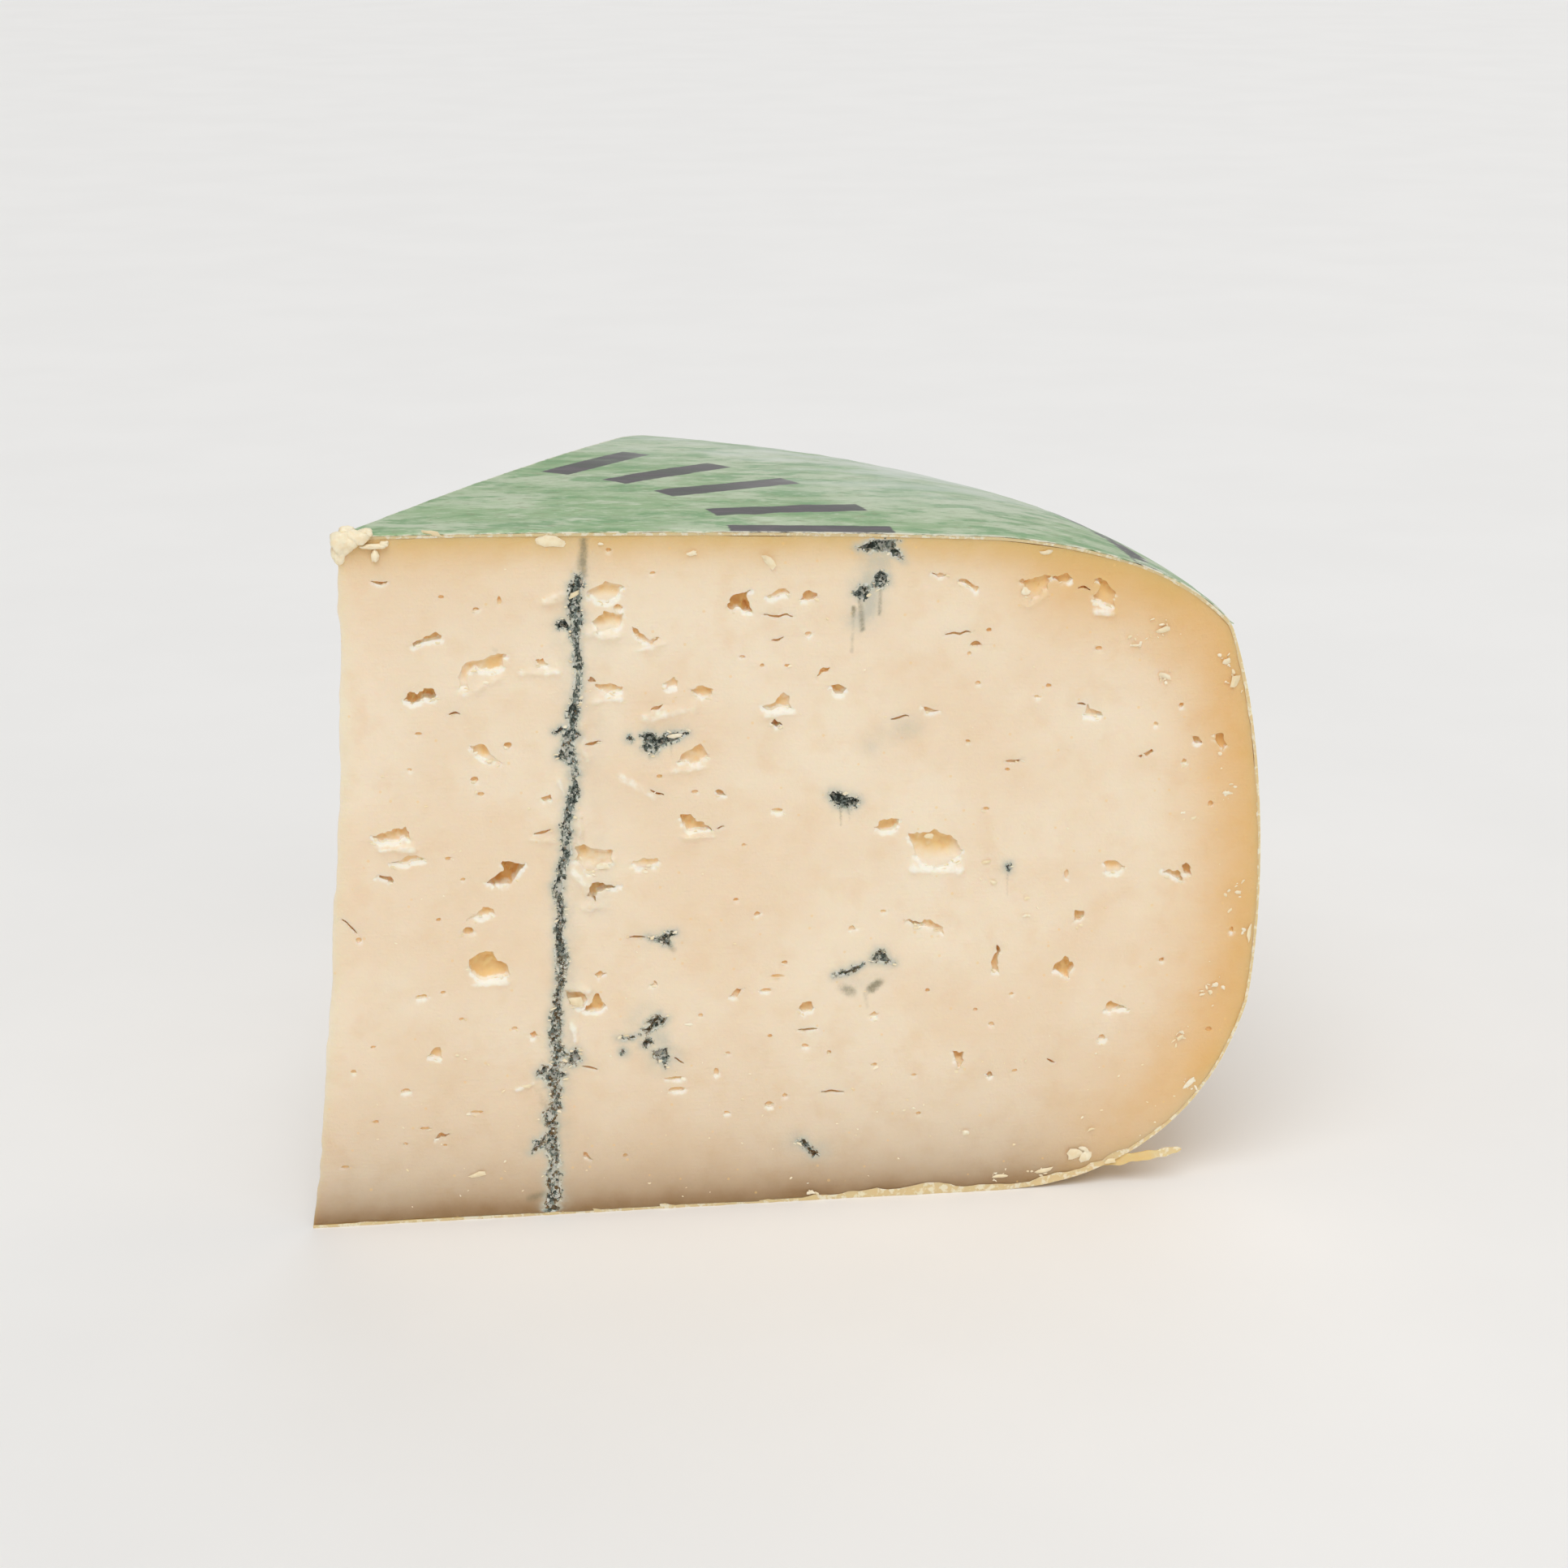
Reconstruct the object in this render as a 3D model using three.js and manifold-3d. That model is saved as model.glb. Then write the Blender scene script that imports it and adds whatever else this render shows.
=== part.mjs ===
// One sixth of a wheel of Gouda-shaped blue cheese, as a shop cuts it.
//
// Three pieces are made: the cheese with its own rind as one solid, the thin food film that is
// painted all over the wheel, and the paper label that is glued on the film's top. The wheel is
// turned about its axis, and then two knife cuts leave the wedge, so that all three pieces end
// flush in the cut faces. Round eyes and flat slits are open where the knife went through them.
//
// Millimetres, +Z up. While the wedge is made, the wheel's axis is the Z axis and the front cut
// is the plane y = 0. At the end the wedge moves so that the origin lies under its middle, on
// the surface it rests on: +X runs along the front cut from the point of the wedge to the rim,
// and +Y runs away from the front cut.

import * as THREE from "three";
import { mergeVertices } from "three/addons/utils/BufferGeometryUtils.js";
import Module from "manifold-3d";

// Driving dimensions of the coated wheel, without its label.
const FLAT_RADIUS = 90; // of the part of the underside that the wheel stands on
const BULGE_RADIUS = 125.3; // pulls the rim out to its widest, 125 mm, below half height
const SHOULDER_RADIUS = 119.5;
const SHOULDER_HEIGHT = 81.5;
const TOP_HEIGHT = 97.1; // at the axis, where the domed top is highest

// Layers, measured inwards or outwards from the outside of the film.
const GAP = 0.3; // clear space between two pieces that touch on the real wheel
const FILM_THICKNESS = 0.4;
const LABEL_THICKNESS = 0.2;

// The knife cuts.
const WEDGE_ANGLE = THREE.MathUtils.degToRad(60); // one sixth of the wheel
const FOOT_DRIFT = 7; // how far the second cut has wandered outwards at the foot
const DRIFT_POWER = 1.6; // the knife wanders faster the deeper it goes

// Fineness of the turned and cut surfaces.
const TURN_STEPS = 144; // round the whole wheel, so 24 round the wedge
const FOOT_STEPS = 9; // along the foot of the outline, its roundest curve
const CURVE_STEPS = 6; // along each of its other curves
const CUT_STEPS = 8; // down the wandering cut
const EYE_STEPS = 10; // round an eye
const EYE_RINGS = 6;

// Eyes of the front cut: how far they are along it, how high, and their width, height and depth.
const FRONT_EYES = [
  { along: 11.0, height: 83.0, width: 3.6, tall: 1.2, deep: 1.6 },
  { along: 10.0, height: 75.5, width: 4.3, tall: 1.9, deep: 2.6 },
  { along: 17.4, height: 78.6, width: 4.4, tall: 2.8, deep: 1.4 },
  { along: 18.7, height: 67.2, width: 3.6, tall: 1.6, deep: 1.2 },
  { along: 5.4, height: 56.3, width: 5.2, tall: 2.2, deep: 2.2 },
  { along: 4.2, height: 50.4, width: 2.8, tall: 1.2, deep: 1.4 },
  { along: 20.9, height: 50.4, width: 4.8, tall: 3.2, deep: 3.4 },
  { along: 18.2, height: 37.3, width: 5.3, tall: 4.2, deep: 4.2 },
  { along: 52.3, height: 87.0, width: 3.2, tall: 3.0, deep: 2.8 },
  { along: 61.5, height: 87.4, width: 2.4, tall: 1.8, deep: 1.8 },
  { along: 65.7, height: 74.2, width: 2.4, tall: 1.6, deep: 2.0 },
  { along: 58.2, height: 73.2, width: 2.4, tall: 2.0, deep: 1.8 },
  { along: 46.2, height: 65.8, width: 4.0, tall: 2.0, deep: 1.6 },
  { along: 49.7, height: 60.5, width: 1.8, tall: 1.1, deep: 1.4 },
  { along: 46.2, height: 56.2, width: 3.8, tall: 2.4, deep: 2.2 },
  { along: 39.4, height: 51.0, width: 3.8, tall: 1.3, deep: 1.0 },
  { along: 72.5, height: 54.8, width: 3.4, tall: 1.3, deep: 1.8 },
  { along: 79.6, height: 51.2, width: 6.4, tall: 4.6, deep: 1.6 },
  { along: 78.2, height: 40.2, width: 5.2, tall: 1.7, deep: 1.8 },
  { along: 91.9, height: 87.6, width: 3.8, tall: 3.0, deep: 1.8 },
  { along: 101.2, height: 86.4, width: 3.0, tall: 3.6, deep: 1.8 },
  { along: 100.7, height: 69.8, width: 2.8, tall: 1.8, deep: 1.8 },
  { along: 114.1, height: 47.0, width: 3.2, tall: 2.4, deep: 2.2 },
  { along: 97.3, height: 33.0, width: 2.8, tall: 2.8, deep: 2.4 },
  { along: 88.0, height: 34.2, width: 1.4, tall: 3.2, deep: 1.8 },
  { along: 61.7, height: 28.9, width: 2.4, tall: 2.0, deep: 2.0 },
  { along: 82.8, height: 20.4, width: 1.5, tall: 2.4, deep: 1.6 },
];

// Eyes of the back cut, measured along it from the wheel's axis.
const BACK_EYES = [
  { along: 14, height: 70, width: 4.6, tall: 2.4, deep: 2.6 },
  { along: 24, height: 42, width: 5.2, tall: 3.6, deep: 3.6 },
  { along: 36, height: 82, width: 3.2, tall: 2.2, deep: 2.2 },
  { along: 44, height: 24, width: 3.8, tall: 2.0, deep: 2.2 },
  { along: 52, height: 60, width: 5.0, tall: 2.8, deep: 2.8 },
  { along: 66, height: 76, width: 3.6, tall: 3.0, deep: 2.6 },
  { along: 72, height: 36, width: 4.4, tall: 2.0, deep: 2.2 },
  { along: 86, height: 56, width: 5.6, tall: 4.0, deep: 2.4 },
  { along: 98, height: 82, width: 4.2, tall: 2.4, deep: 2.0 },
  { along: 106, height: 34, width: 3.0, tall: 2.6, deep: 2.4 },
];

const wasm = await Module();
wasm.setup();

// Turns a closed three.js geometry into a solid that can be joined and cut.
function solidFrom(geometry) {
  geometry.deleteAttribute("normal");
  geometry.deleteAttribute("uv");
  const merged = mergeVertices(geometry, 1e-4);
  const corners = Array.from(merged.index.array);
  const faces = [];
  for (let i = 0; i < corners.length; i += 3) {
    const [a, b, c] = corners.slice(i, i + 3);
    const hasArea = a !== b && b !== c && c !== a;
    if (hasArea) faces.push(a, b, c);
  }
  return new wasm.Manifold(
    new wasm.Mesh({
      numProp: 3,
      vertProperties: new Float32Array(merged.attributes.position.array),
      triVerts: new Uint32Array(faces),
    }),
  );
}

// Turns a solid back into a three.js geometry.
function geometryFrom(solid) {
  const mesh = solid.getMesh();
  const geometry = new THREE.BufferGeometry();
  geometry.setAttribute("position", new THREE.BufferAttribute(mesh.vertProperties, 3));
  geometry.setIndex(new THREE.BufferAttribute(mesh.triVerts, 1));
  return geometry;
}

// The outline's curves, as radius and height: foot and side make the rim, shoulder and dome
// make the part of the top that the label covers.
const point = (radius, height) => new THREE.Vector2(radius, height);
const footEnd = point(124, 27);
const shoulderPoint = point(SHOULDER_RADIUS, SHOULDER_HEIGHT);
const domeStart = point(87, TOP_HEIGHT - 2.6);
const foot = new THREE.CubicBezierCurve(point(FLAT_RADIUS, 0), point(106, 0.5), point(119, 9), footEnd);
const side = new THREE.CubicBezierCurve(
  footEnd,
  point(BULGE_RADIUS + 1, 44),
  point(BULGE_RADIUS - 0.7, 68),
  shoulderPoint,
);
const shoulder = new THREE.CubicBezierCurve(shoulderPoint, point(113, 89), point(101, 93), domeStart);
const dome = new THREE.CubicBezierCurve(
  domeStart,
  point(60, TOP_HEIGHT - 0.8),
  point(25, TOP_HEIGHT),
  point(0, TOP_HEIGHT),
);

// Points along a run of curves, each shared end taken once.
function pointsAlong(curves) {
  const all = curves.flatMap((curve) => curve.getPoints(curve === foot ? FOOT_STEPS : CURVE_STEPS));
  return all.filter((p, i) => i === 0 || p.distanceTo(all[i - 1]) > 1e-6);
}

// Moves each point of an outline outwards, square to the line through its two neighbours.
function moveOut(points, distance) {
  return points.map((p, i) => {
    const before = points[Math.max(i - 1, 0)];
    const after = points[Math.min(i + 1, points.length - 1)];
    const along = after.clone().sub(before).normalize();
    const moved = point(p.x + along.y * distance, p.y - along.x * distance);
    if (p.x === 0) moved.x = 0;
    return moved;
  });
}

// Turns an outline that starts and ends on the axis into a solid of revolution. It starts half
// a step round, so that neither cut runs along a row of its corners.
function turned(outline) {
  const halfStep = Math.PI / TURN_STEPS;
  return solidFrom(new THREE.LatheGeometry(outline, TURN_STEPS, halfStep).rotateX(Math.PI / 2));
}

// How far the second cut lies outside its true plane at a height, measured along X.
function drift(height) {
  const depth = THREE.MathUtils.clamp(1 - height / TOP_HEIGHT, 0, 1);
  return FOOT_DRIFT * depth ** DRIFT_POWER;
}

// Everything on the wedge's side of the front cut.
function frontCut() {
  const size = BULGE_RADIUS * 4;
  return solidFrom(new THREE.BoxGeometry(size, size, size).translate(0, size / 2, 0));
}

// Directions of the second cut: along it from the axis, and square to it into the wedge.
const cutAlong = new THREE.Vector3(Math.cos(WEDGE_ANGLE), Math.sin(WEDGE_ANGLE), 0);
const cutInwards = new THREE.Vector3(Math.sin(WEDGE_ANGLE), -Math.cos(WEDGE_ANGLE), 0);
const up = new THREE.Vector3(0, 0, 1);

// Everything on the wedge's side of the second cut: its wandering line, seen along the cut, is
// closed far inside the wheel and extruded from end to end.
function backCut() {
  const reach = BULGE_RADIUS * 2;
  const line = new THREE.Shape();
  line.moveTo(reach, -reach);
  line.lineTo(reach, reach);
  line.lineTo(0, reach);
  for (let i = 0; i <= CUT_STEPS; i++) {
    const height = TOP_HEIGHT * (1 - i / CUT_STEPS);
    line.lineTo(-drift(height) * Math.sin(WEDGE_ANGLE), height);
  }
  line.lineTo(-FOOT_DRIFT * Math.sin(WEDGE_ANGLE), -reach);
  const block = new THREE.ExtrudeGeometry(line, { depth: reach * 2, bevelEnabled: false });
  const backwards = cutAlong.clone().negate();
  const turn = new THREE.Matrix4().makeBasis(cutInwards, up, backwards);
  turn.setPosition(cutAlong.clone().multiplyScalar(reach));
  return solidFrom(block.applyMatrix4(turn));
}

// One eye: a flattened ball whose middle lies in the cut face.
function eyeBall(eye) {
  const ball = new THREE.SphereGeometry(1, EYE_STEPS, EYE_RINGS);
  return ball.scale(eye.width / 2, eye.deep, eye.tall / 2);
}

function frontEye(eye) {
  return solidFrom(eyeBall(eye).translate(eye.along, 0, eye.height));
}

function backEye(eye) {
  const turn = new THREE.Matrix4().makeBasis(cutAlong, cutInwards.clone().negate(), up);
  const middle = cutAlong.clone().multiplyScalar(eye.along);
  middle.x -= drift(eye.height);
  middle.z = eye.height;
  return solidFrom(eyeBall(eye).applyMatrix4(turn.setPosition(middle)));
}

const rimPoints = pointsAlong([foot, side]);
const topPoints = pointsAlong([shoulder, dome]);
const wholeOutline = [point(0, 0), ...rimPoints, ...topPoints.slice(1)];
const wedgeSpace = frontCut().intersect(backCut());

function cheeseSolid() {
  let cheese = turned(moveOut(wholeOutline, -FILM_THICKNESS - GAP)).intersect(wedgeSpace);
  for (const eye of FRONT_EYES) cheese = cheese.subtract(frontEye(eye));
  for (const eye of BACK_EYES) cheese = cheese.subtract(backEye(eye));
  return cheese;
}

function filmSolid() {
  const outside = turned(wholeOutline);
  const inside = turned(moveOut(wholeOutline, -FILM_THICKNESS));
  return outside.subtract(inside).intersect(wedgeSpace);
}

function labelSolid() {
  const underneath = moveOut(topPoints, GAP);
  const face = moveOut(topPoints, GAP + LABEL_THICKNESS);
  return turned([...underneath.reverse(), ...face]).intersect(wedgeSpace);
}

const cheeseMaterial = new THREE.MeshStandardMaterial({ color: 0xeed9b4, roughness: 0.45, metalness: 0 });
const filmMaterial = new THREE.MeshStandardMaterial({ color: 0xe2bd72, roughness: 0.35, metalness: 0 });
const labelMaterial = new THREE.MeshStandardMaterial({ color: 0x86b580, roughness: 0.6, metalness: 0 });

function piece(name, solid, material) {
  const mesh = new THREE.Mesh(geometryFrom(solid), material);
  mesh.name = name;
  return mesh;
}

const wedge = new THREE.Group();
wedge.add(piece("cheese", cheeseSolid(), cheeseMaterial));
wedge.add(piece("rind_film", filmSolid(), filmMaterial));
wedge.add(piece("top_label", labelSolid(), labelMaterial));

const extent = new THREE.Box3().setFromObject(wedge);
const middle = extent.getCenter(new THREE.Vector3());
wedge.position.set(-middle.x, -middle.y, -extent.min.z);

export default wedge;
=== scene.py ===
# %% [markdown]
# # A wedge of blue-veined cheese
#
# The real thing is a sixth of a small wheel: a firm cream paste with torn holes, one long blue
# vein where a needle once went through, a golden film that was painted round the wheel, and a
# green paper label on top. The CAD model holds its size. This script makes its looks: every
# piece is a surface worked out with numpy, and every finish is a set of nodes.
#
# The first cell loads the CAD model as a fixed frame. Its boxes later give the wheel's axis and
# a rim radius to compare with.

import math
from itertools import product

import bmesh
import bpy
import numpy as np
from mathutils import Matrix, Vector
from mathutils.geometry import delaunay_2d_cdt


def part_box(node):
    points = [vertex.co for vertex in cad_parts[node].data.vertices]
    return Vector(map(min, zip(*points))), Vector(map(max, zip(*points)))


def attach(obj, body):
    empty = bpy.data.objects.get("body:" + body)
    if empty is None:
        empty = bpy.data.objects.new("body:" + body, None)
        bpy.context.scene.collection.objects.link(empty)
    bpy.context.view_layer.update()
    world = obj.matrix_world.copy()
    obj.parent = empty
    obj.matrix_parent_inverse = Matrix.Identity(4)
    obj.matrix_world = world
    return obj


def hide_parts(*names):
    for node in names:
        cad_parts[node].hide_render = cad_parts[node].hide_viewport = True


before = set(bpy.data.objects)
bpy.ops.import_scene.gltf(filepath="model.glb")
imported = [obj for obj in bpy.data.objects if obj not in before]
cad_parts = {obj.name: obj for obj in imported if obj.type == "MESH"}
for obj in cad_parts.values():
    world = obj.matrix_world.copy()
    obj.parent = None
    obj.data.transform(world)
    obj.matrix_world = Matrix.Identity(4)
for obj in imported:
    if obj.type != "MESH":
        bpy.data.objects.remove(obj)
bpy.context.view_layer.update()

# %% [markdown]
# ## Working in the wheel's own millimetres
#
# A cheesemaker thinks of a wheel by radius and height, so all shapes here are first written
# that way: the wheel's axis is the Z axis, the front cut is the plane y = 0, and the unit is a
# millimetre. The label reaches the axis and the front cut, so the low corner of its CAD box
# says where that axis stands in the frame. Each cut has a direction along it and one outwards,
# and it takes the first or the last column of a sheet that turns from the one to the other.

# %% Millimetres and the wheel's axis
MM = 0.001
label_low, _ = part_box("top_label")
AXIS = np.array([label_low.x, label_low.y, 0.0])
WEDGE_ANGLE = math.radians(60)
UP = np.array([0.0, 0.0, 1.0])
FRONT_ALONG = np.array([1.0, 0.0, 0.0])
FRONT_OUTWARDS = np.array([0.0, -1.0, 0.0])
BACK_ALONG = np.array([math.cos(WEDGE_ANGLE), math.sin(WEDGE_ANGLE), 0.0])
BACK_OUTWARDS = np.array([-math.sin(WEDGE_ANGLE), math.cos(WEDGE_ANGLE), 0.0])
SIDES = {"front": (FRONT_ALONG, FRONT_OUTWARDS), "back": (BACK_ALONG, BACK_OUTWARDS)}
CUT_COLUMNS = ((0, FRONT_OUTWARDS), (-1, BACK_OUTWARDS))


def in_frame(points):
    """Wheel millimetres to metres in the frame: scaled, then moved to where the axis stands."""
    return np.asarray(points, float) * MM + AXIS


print("the wheel's axis stands at", AXIS.round(4))

# %% [markdown]
# ## The camera
#
# It stands a little left of the front cut and looks down on it at 17 degrees, far enough away
# for a long lens, so that the cut face is seen almost flat. It is made first, because every
# later choice is judged through it.

# %% Camera
CAMERA_PLACE = (1.9, -414.6, 189.9)
CAMERA_DOWN = math.radians(17.08)
CAMERA_RIGHT = math.radians(7.74)
LENS, SENSOR = 74.5, 36.0

camera_data = bpy.data.cameras.new("camera")
camera_data.lens = LENS
camera_data.sensor_width = SENSOR
camera = bpy.data.objects.new("camera", camera_data)
camera.location = in_frame(CAMERA_PLACE)
camera.rotation_euler = (math.pi / 2 - CAMERA_DOWN, 0, -CAMERA_RIGHT)
bpy.context.scene.collection.objects.link(camera)
bpy.context.scene.camera = camera
bpy.context.scene.view_settings.view_transform = "Standard"
print("camera at", [round(v, 3) for v in camera.location])

# %% [markdown]
# ## Smooth randomness
#
# Nothing on a cheese is exactly straight or even. Value noise gives that: every corner of a
# lattice of cubes gets a random number from its own whole-number address, and a point between
# the corners gets a smooth blend of the eight numbers round it. The address alone decides the
# number, so each run gives the same cheese.

# %% Value noise
LATTICE_PRIMES = (374761393, 668265263, 1440662683)
WORD = 0xFFFFFFFF


def noise(points, size, seed=0):
    """Value noise from -1 to 1 at points (n, 2 or 3), with bumps about `size` wide."""
    place = np.asarray(points, float) / size + 1000.0
    corner = np.floor(place).astype(np.int64)
    part = place - corner
    part = part * part * (3 - 2 * part)
    total = np.zeros(len(place))
    for step in product((0, 1), repeat=place.shape[1]):
        mixed = (corner + np.array(step)) @ np.array(LATTICE_PRIMES[: len(step)])
        mixed = (mixed + seed * 974634777) & WORD
        mixed = ((mixed ^ (mixed >> 13)) * 1274126177) & WORD
        mixed = mixed ^ (mixed >> 16)
        weight = np.where(np.array(step) == 1, part, 1 - part).prod(axis=1)
        total += weight * (mixed / WORD * 2 - 1)
    return total


def ramp(value, low, high):
    """0 below low, 1 above high, and a smooth S between them (low may be the higher one)."""
    share = np.clip((value - low) / (high - low), 0, 1)
    return share * share * (3 - 2 * share)


print("noise at the axis:", noise(np.zeros((1, 3)), 5.0).round(3))

# %% [markdown]
# ## From arrays to objects
#
# Each piece is a list of points and a list of faces. Two grids laid over each other, such as
# the top and the underside of a sheet of paper, become one closed piece when a strip of faces
# joins their edges. Doubled points at seams and poles are then merged, and the faces are
# turned outwards.

# %% Mesh helpers
MERGE_DISTANCE = 2e-6


def grid_faces(index):
    """Quads between neighbouring rows and columns of a grid of point numbers."""
    corners = (index[:-1, :-1], index[1:, :-1], index[1:, 1:], index[:-1, 1:])
    return np.stack([c.ravel() for c in corners], axis=1)


def slab(outer, inner):
    """Points and faces of the closed piece between two grids of the same size."""
    rows, columns = outer.shape[:2]
    index = np.arange(rows * columns).reshape(rows, columns)
    edge = np.concatenate([index[0, :-1], index[:-1, -1], index[-1, :0:-1], index[:0:-1, 0]])
    after = np.roll(edge, -1)
    below = rows * columns
    rim = np.stack([edge, after, after + below, edge + below], axis=1)
    faces = np.concatenate([grid_faces(index), grid_faces(index)[:, ::-1] + below, rim])
    return np.concatenate([outer.reshape(-1, 3), inner.reshape(-1, 3)]), faces


def make_piece(name, points, faces, material, marks=None, crease=55):
    """A closed object from wheel millimetres, riding on the CAD body, with its finish."""
    mesh = bpy.data.meshes.new(name)
    mesh.from_pydata(in_frame(points).tolist(), [], [list(f) for f in faces])
    for mark, values in (marks or {}).items():
        layer = mesh.attributes.new(mark, "FLOAT", "POINT")
        layer.data.foreach_set("value", np.asarray(values, np.float32))
    work = bmesh.new()
    work.from_mesh(mesh)
    bmesh.ops.remove_doubles(work, verts=work.verts, dist=MERGE_DISTANCE)
    bmesh.ops.recalc_face_normals(work, faces=work.faces)
    open_edges = sum(len(e.link_faces) != 2 for e in work.edges)
    work.to_mesh(mesh)
    work.free()
    mesh.polygons.foreach_set("use_smooth", np.ones(len(mesh.polygons), bool))
    mesh.set_sharp_from_angle(angle=math.radians(crease))
    piece = bpy.data.objects.new(name, mesh)
    piece.data.materials.append(material)
    bpy.context.scene.collection.objects.link(piece)
    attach(piece, "root")
    triangles = sum(len(p.vertices) - 2 for p in mesh.polygons)
    print(f"{name}: {triangles} triangles, {open_edges} open edges")
    return piece


# %% [markdown]
# ## The wheel's outline
#
# A young wheel bulges at its side, has a rounded foot and a domed top. Four cubic curves carry
# the outline from the flat of the foot to the axis, as radius and height. Every layer of the
# wheel is the same outline pushed in or out a little: the paste, the film on it and the label
# on that.

# %% Outline
OUTLINE = [
    [(90, 0), (106, 0.5), (119, 9), (124, 27)],
    [(124, 27), (126.3, 44), (124.6, 68), (119.5, 81.5)],
    [(119.5, 81.5), (113, 89), (101, 93), (87, 94.5)],
    [(87, 94.5), (60, 96.3), (25, 97.1), (0, 97.1)],
]
TOP_HEIGHT = 97.1
FLAT_RADIUS = 90.0
FOOT_DRIFT = 7.0
DRIFT_POWER = 1.6
SHAKES = ((0.22, 9.0, 61), (0.13, 1.9, 62))
CURVE_STEPS = 40


def curve(corners, steps):
    """Cubic Bezier: four points weighted (1-t)^3, 3t(1-t)^2, 3t^2(1-t) and t^3."""
    t = np.linspace(0, 1, steps + 1)[:, None]
    weights = [(1 - t) ** 3, 3 * t * (1 - t) ** 2, 3 * t**2 * (1 - t), t**3]
    return sum(w * np.array(c, float) for w, c in zip(weights, corners))


def respace(line, step):
    """The same line with its points an even step apart."""
    lengths = np.concatenate([[0], np.cumsum(np.linalg.norm(np.diff(line, axis=0), axis=1))])
    count = max(int(round(lengths[-1] / step)), 1)
    marks = np.linspace(0, lengths[-1], count + 1)
    return np.stack([np.interp(marks, lengths, line[:, i]) for i in range(line.shape[1])], 1)


def outline(inset, step):
    """Radius and height from the foot's flat to the axis, pushed `inset` mm inwards."""
    line = np.concatenate([curve(c, CURVE_STEPS)[:-1] for c in OUTLINE] + [[OUTLINE[-1][-1]]])
    line = respace(line, step)
    run = np.gradient(line, axis=0)
    run /= np.linalg.norm(run, axis=1)[:, None]
    pushed = line + inset * np.stack([-run[:, 1], run[:, 0]], 1)
    pushed[0] = (FLAT_RADIUS, inset)
    pushed[-1] = (0, TOP_HEIGHT - inset)
    return pushed


def drift(height):
    """How far the second knife cut has wandered outwards: a power of the way down from the top,
    plus noise of two sizes below the shoulder, because the hand with the knife shook."""
    place = np.reshape(height, (-1, 1))
    shake = sum(amount * noise(place, size, seed) for amount, size, seed in SHAKES)
    shake = shake.reshape(np.shape(height)) * ramp(height, 96.5, 91)
    return FOOT_DRIFT * np.clip(1 - height / TOP_HEIGHT, 0, 1) ** DRIFT_POWER + shake


def back_turn(radius, height):
    """Angle round the axis at which the back cut meets a circle of that radius."""
    away = drift(height)
    cos, sin = math.cos(WEDGE_ANGLE), math.sin(WEDGE_ANGLE)
    along = away * cos + np.sqrt(np.maximum(radius**2 - (away * sin) ** 2, 0))
    return np.arctan2(along * sin, along * cos - away)


def skin(inset, turns, step, foot_rows):
    """The wheel's skin between the cuts: rows run from the wedge's point along the foot, up
    the side and over the dome to the axis, and columns turn from the front cut (0) to the
    back cut (1)."""
    radius, height = outline(inset, step).T
    angle = back_turn(radius, height)[:, None] * turns
    tall = np.broadcast_to(height[:, None], angle.shape)
    side = np.stack([radius[:, None] * np.cos(angle), radius[:, None] * np.sin(angle), tall], 2)
    point = np.array([-drift(inset), 0, inset])
    share = np.linspace(0, 1, foot_rows + 1)[:-1, None, None]
    return np.concatenate([point + share * (side[0] - point), side])


_, film_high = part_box("rind_film")
rim_radius = outline(0, 0.5)[:, 0].max()
cad_radius = (film_high.x - AXIS[0]) / MM
print("rim radius here", rim_radius.round(2), "and in CAD", round(cad_radius, 2))

# %% [markdown]
# ## What the front cut shows
#
# A knife opens every hole it meets. Round gas holes were torn into flat and angular shapes
# while the paste was young, so each big one is written down as a short outline on the cut,
# along it from the axis and up from the foot, with its depth and how far its lower side leans
# outwards (1 is a dish, 0 is a straight wall). Small pits are just a place and a size, and
# cracks are two ends and a width.

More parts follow.
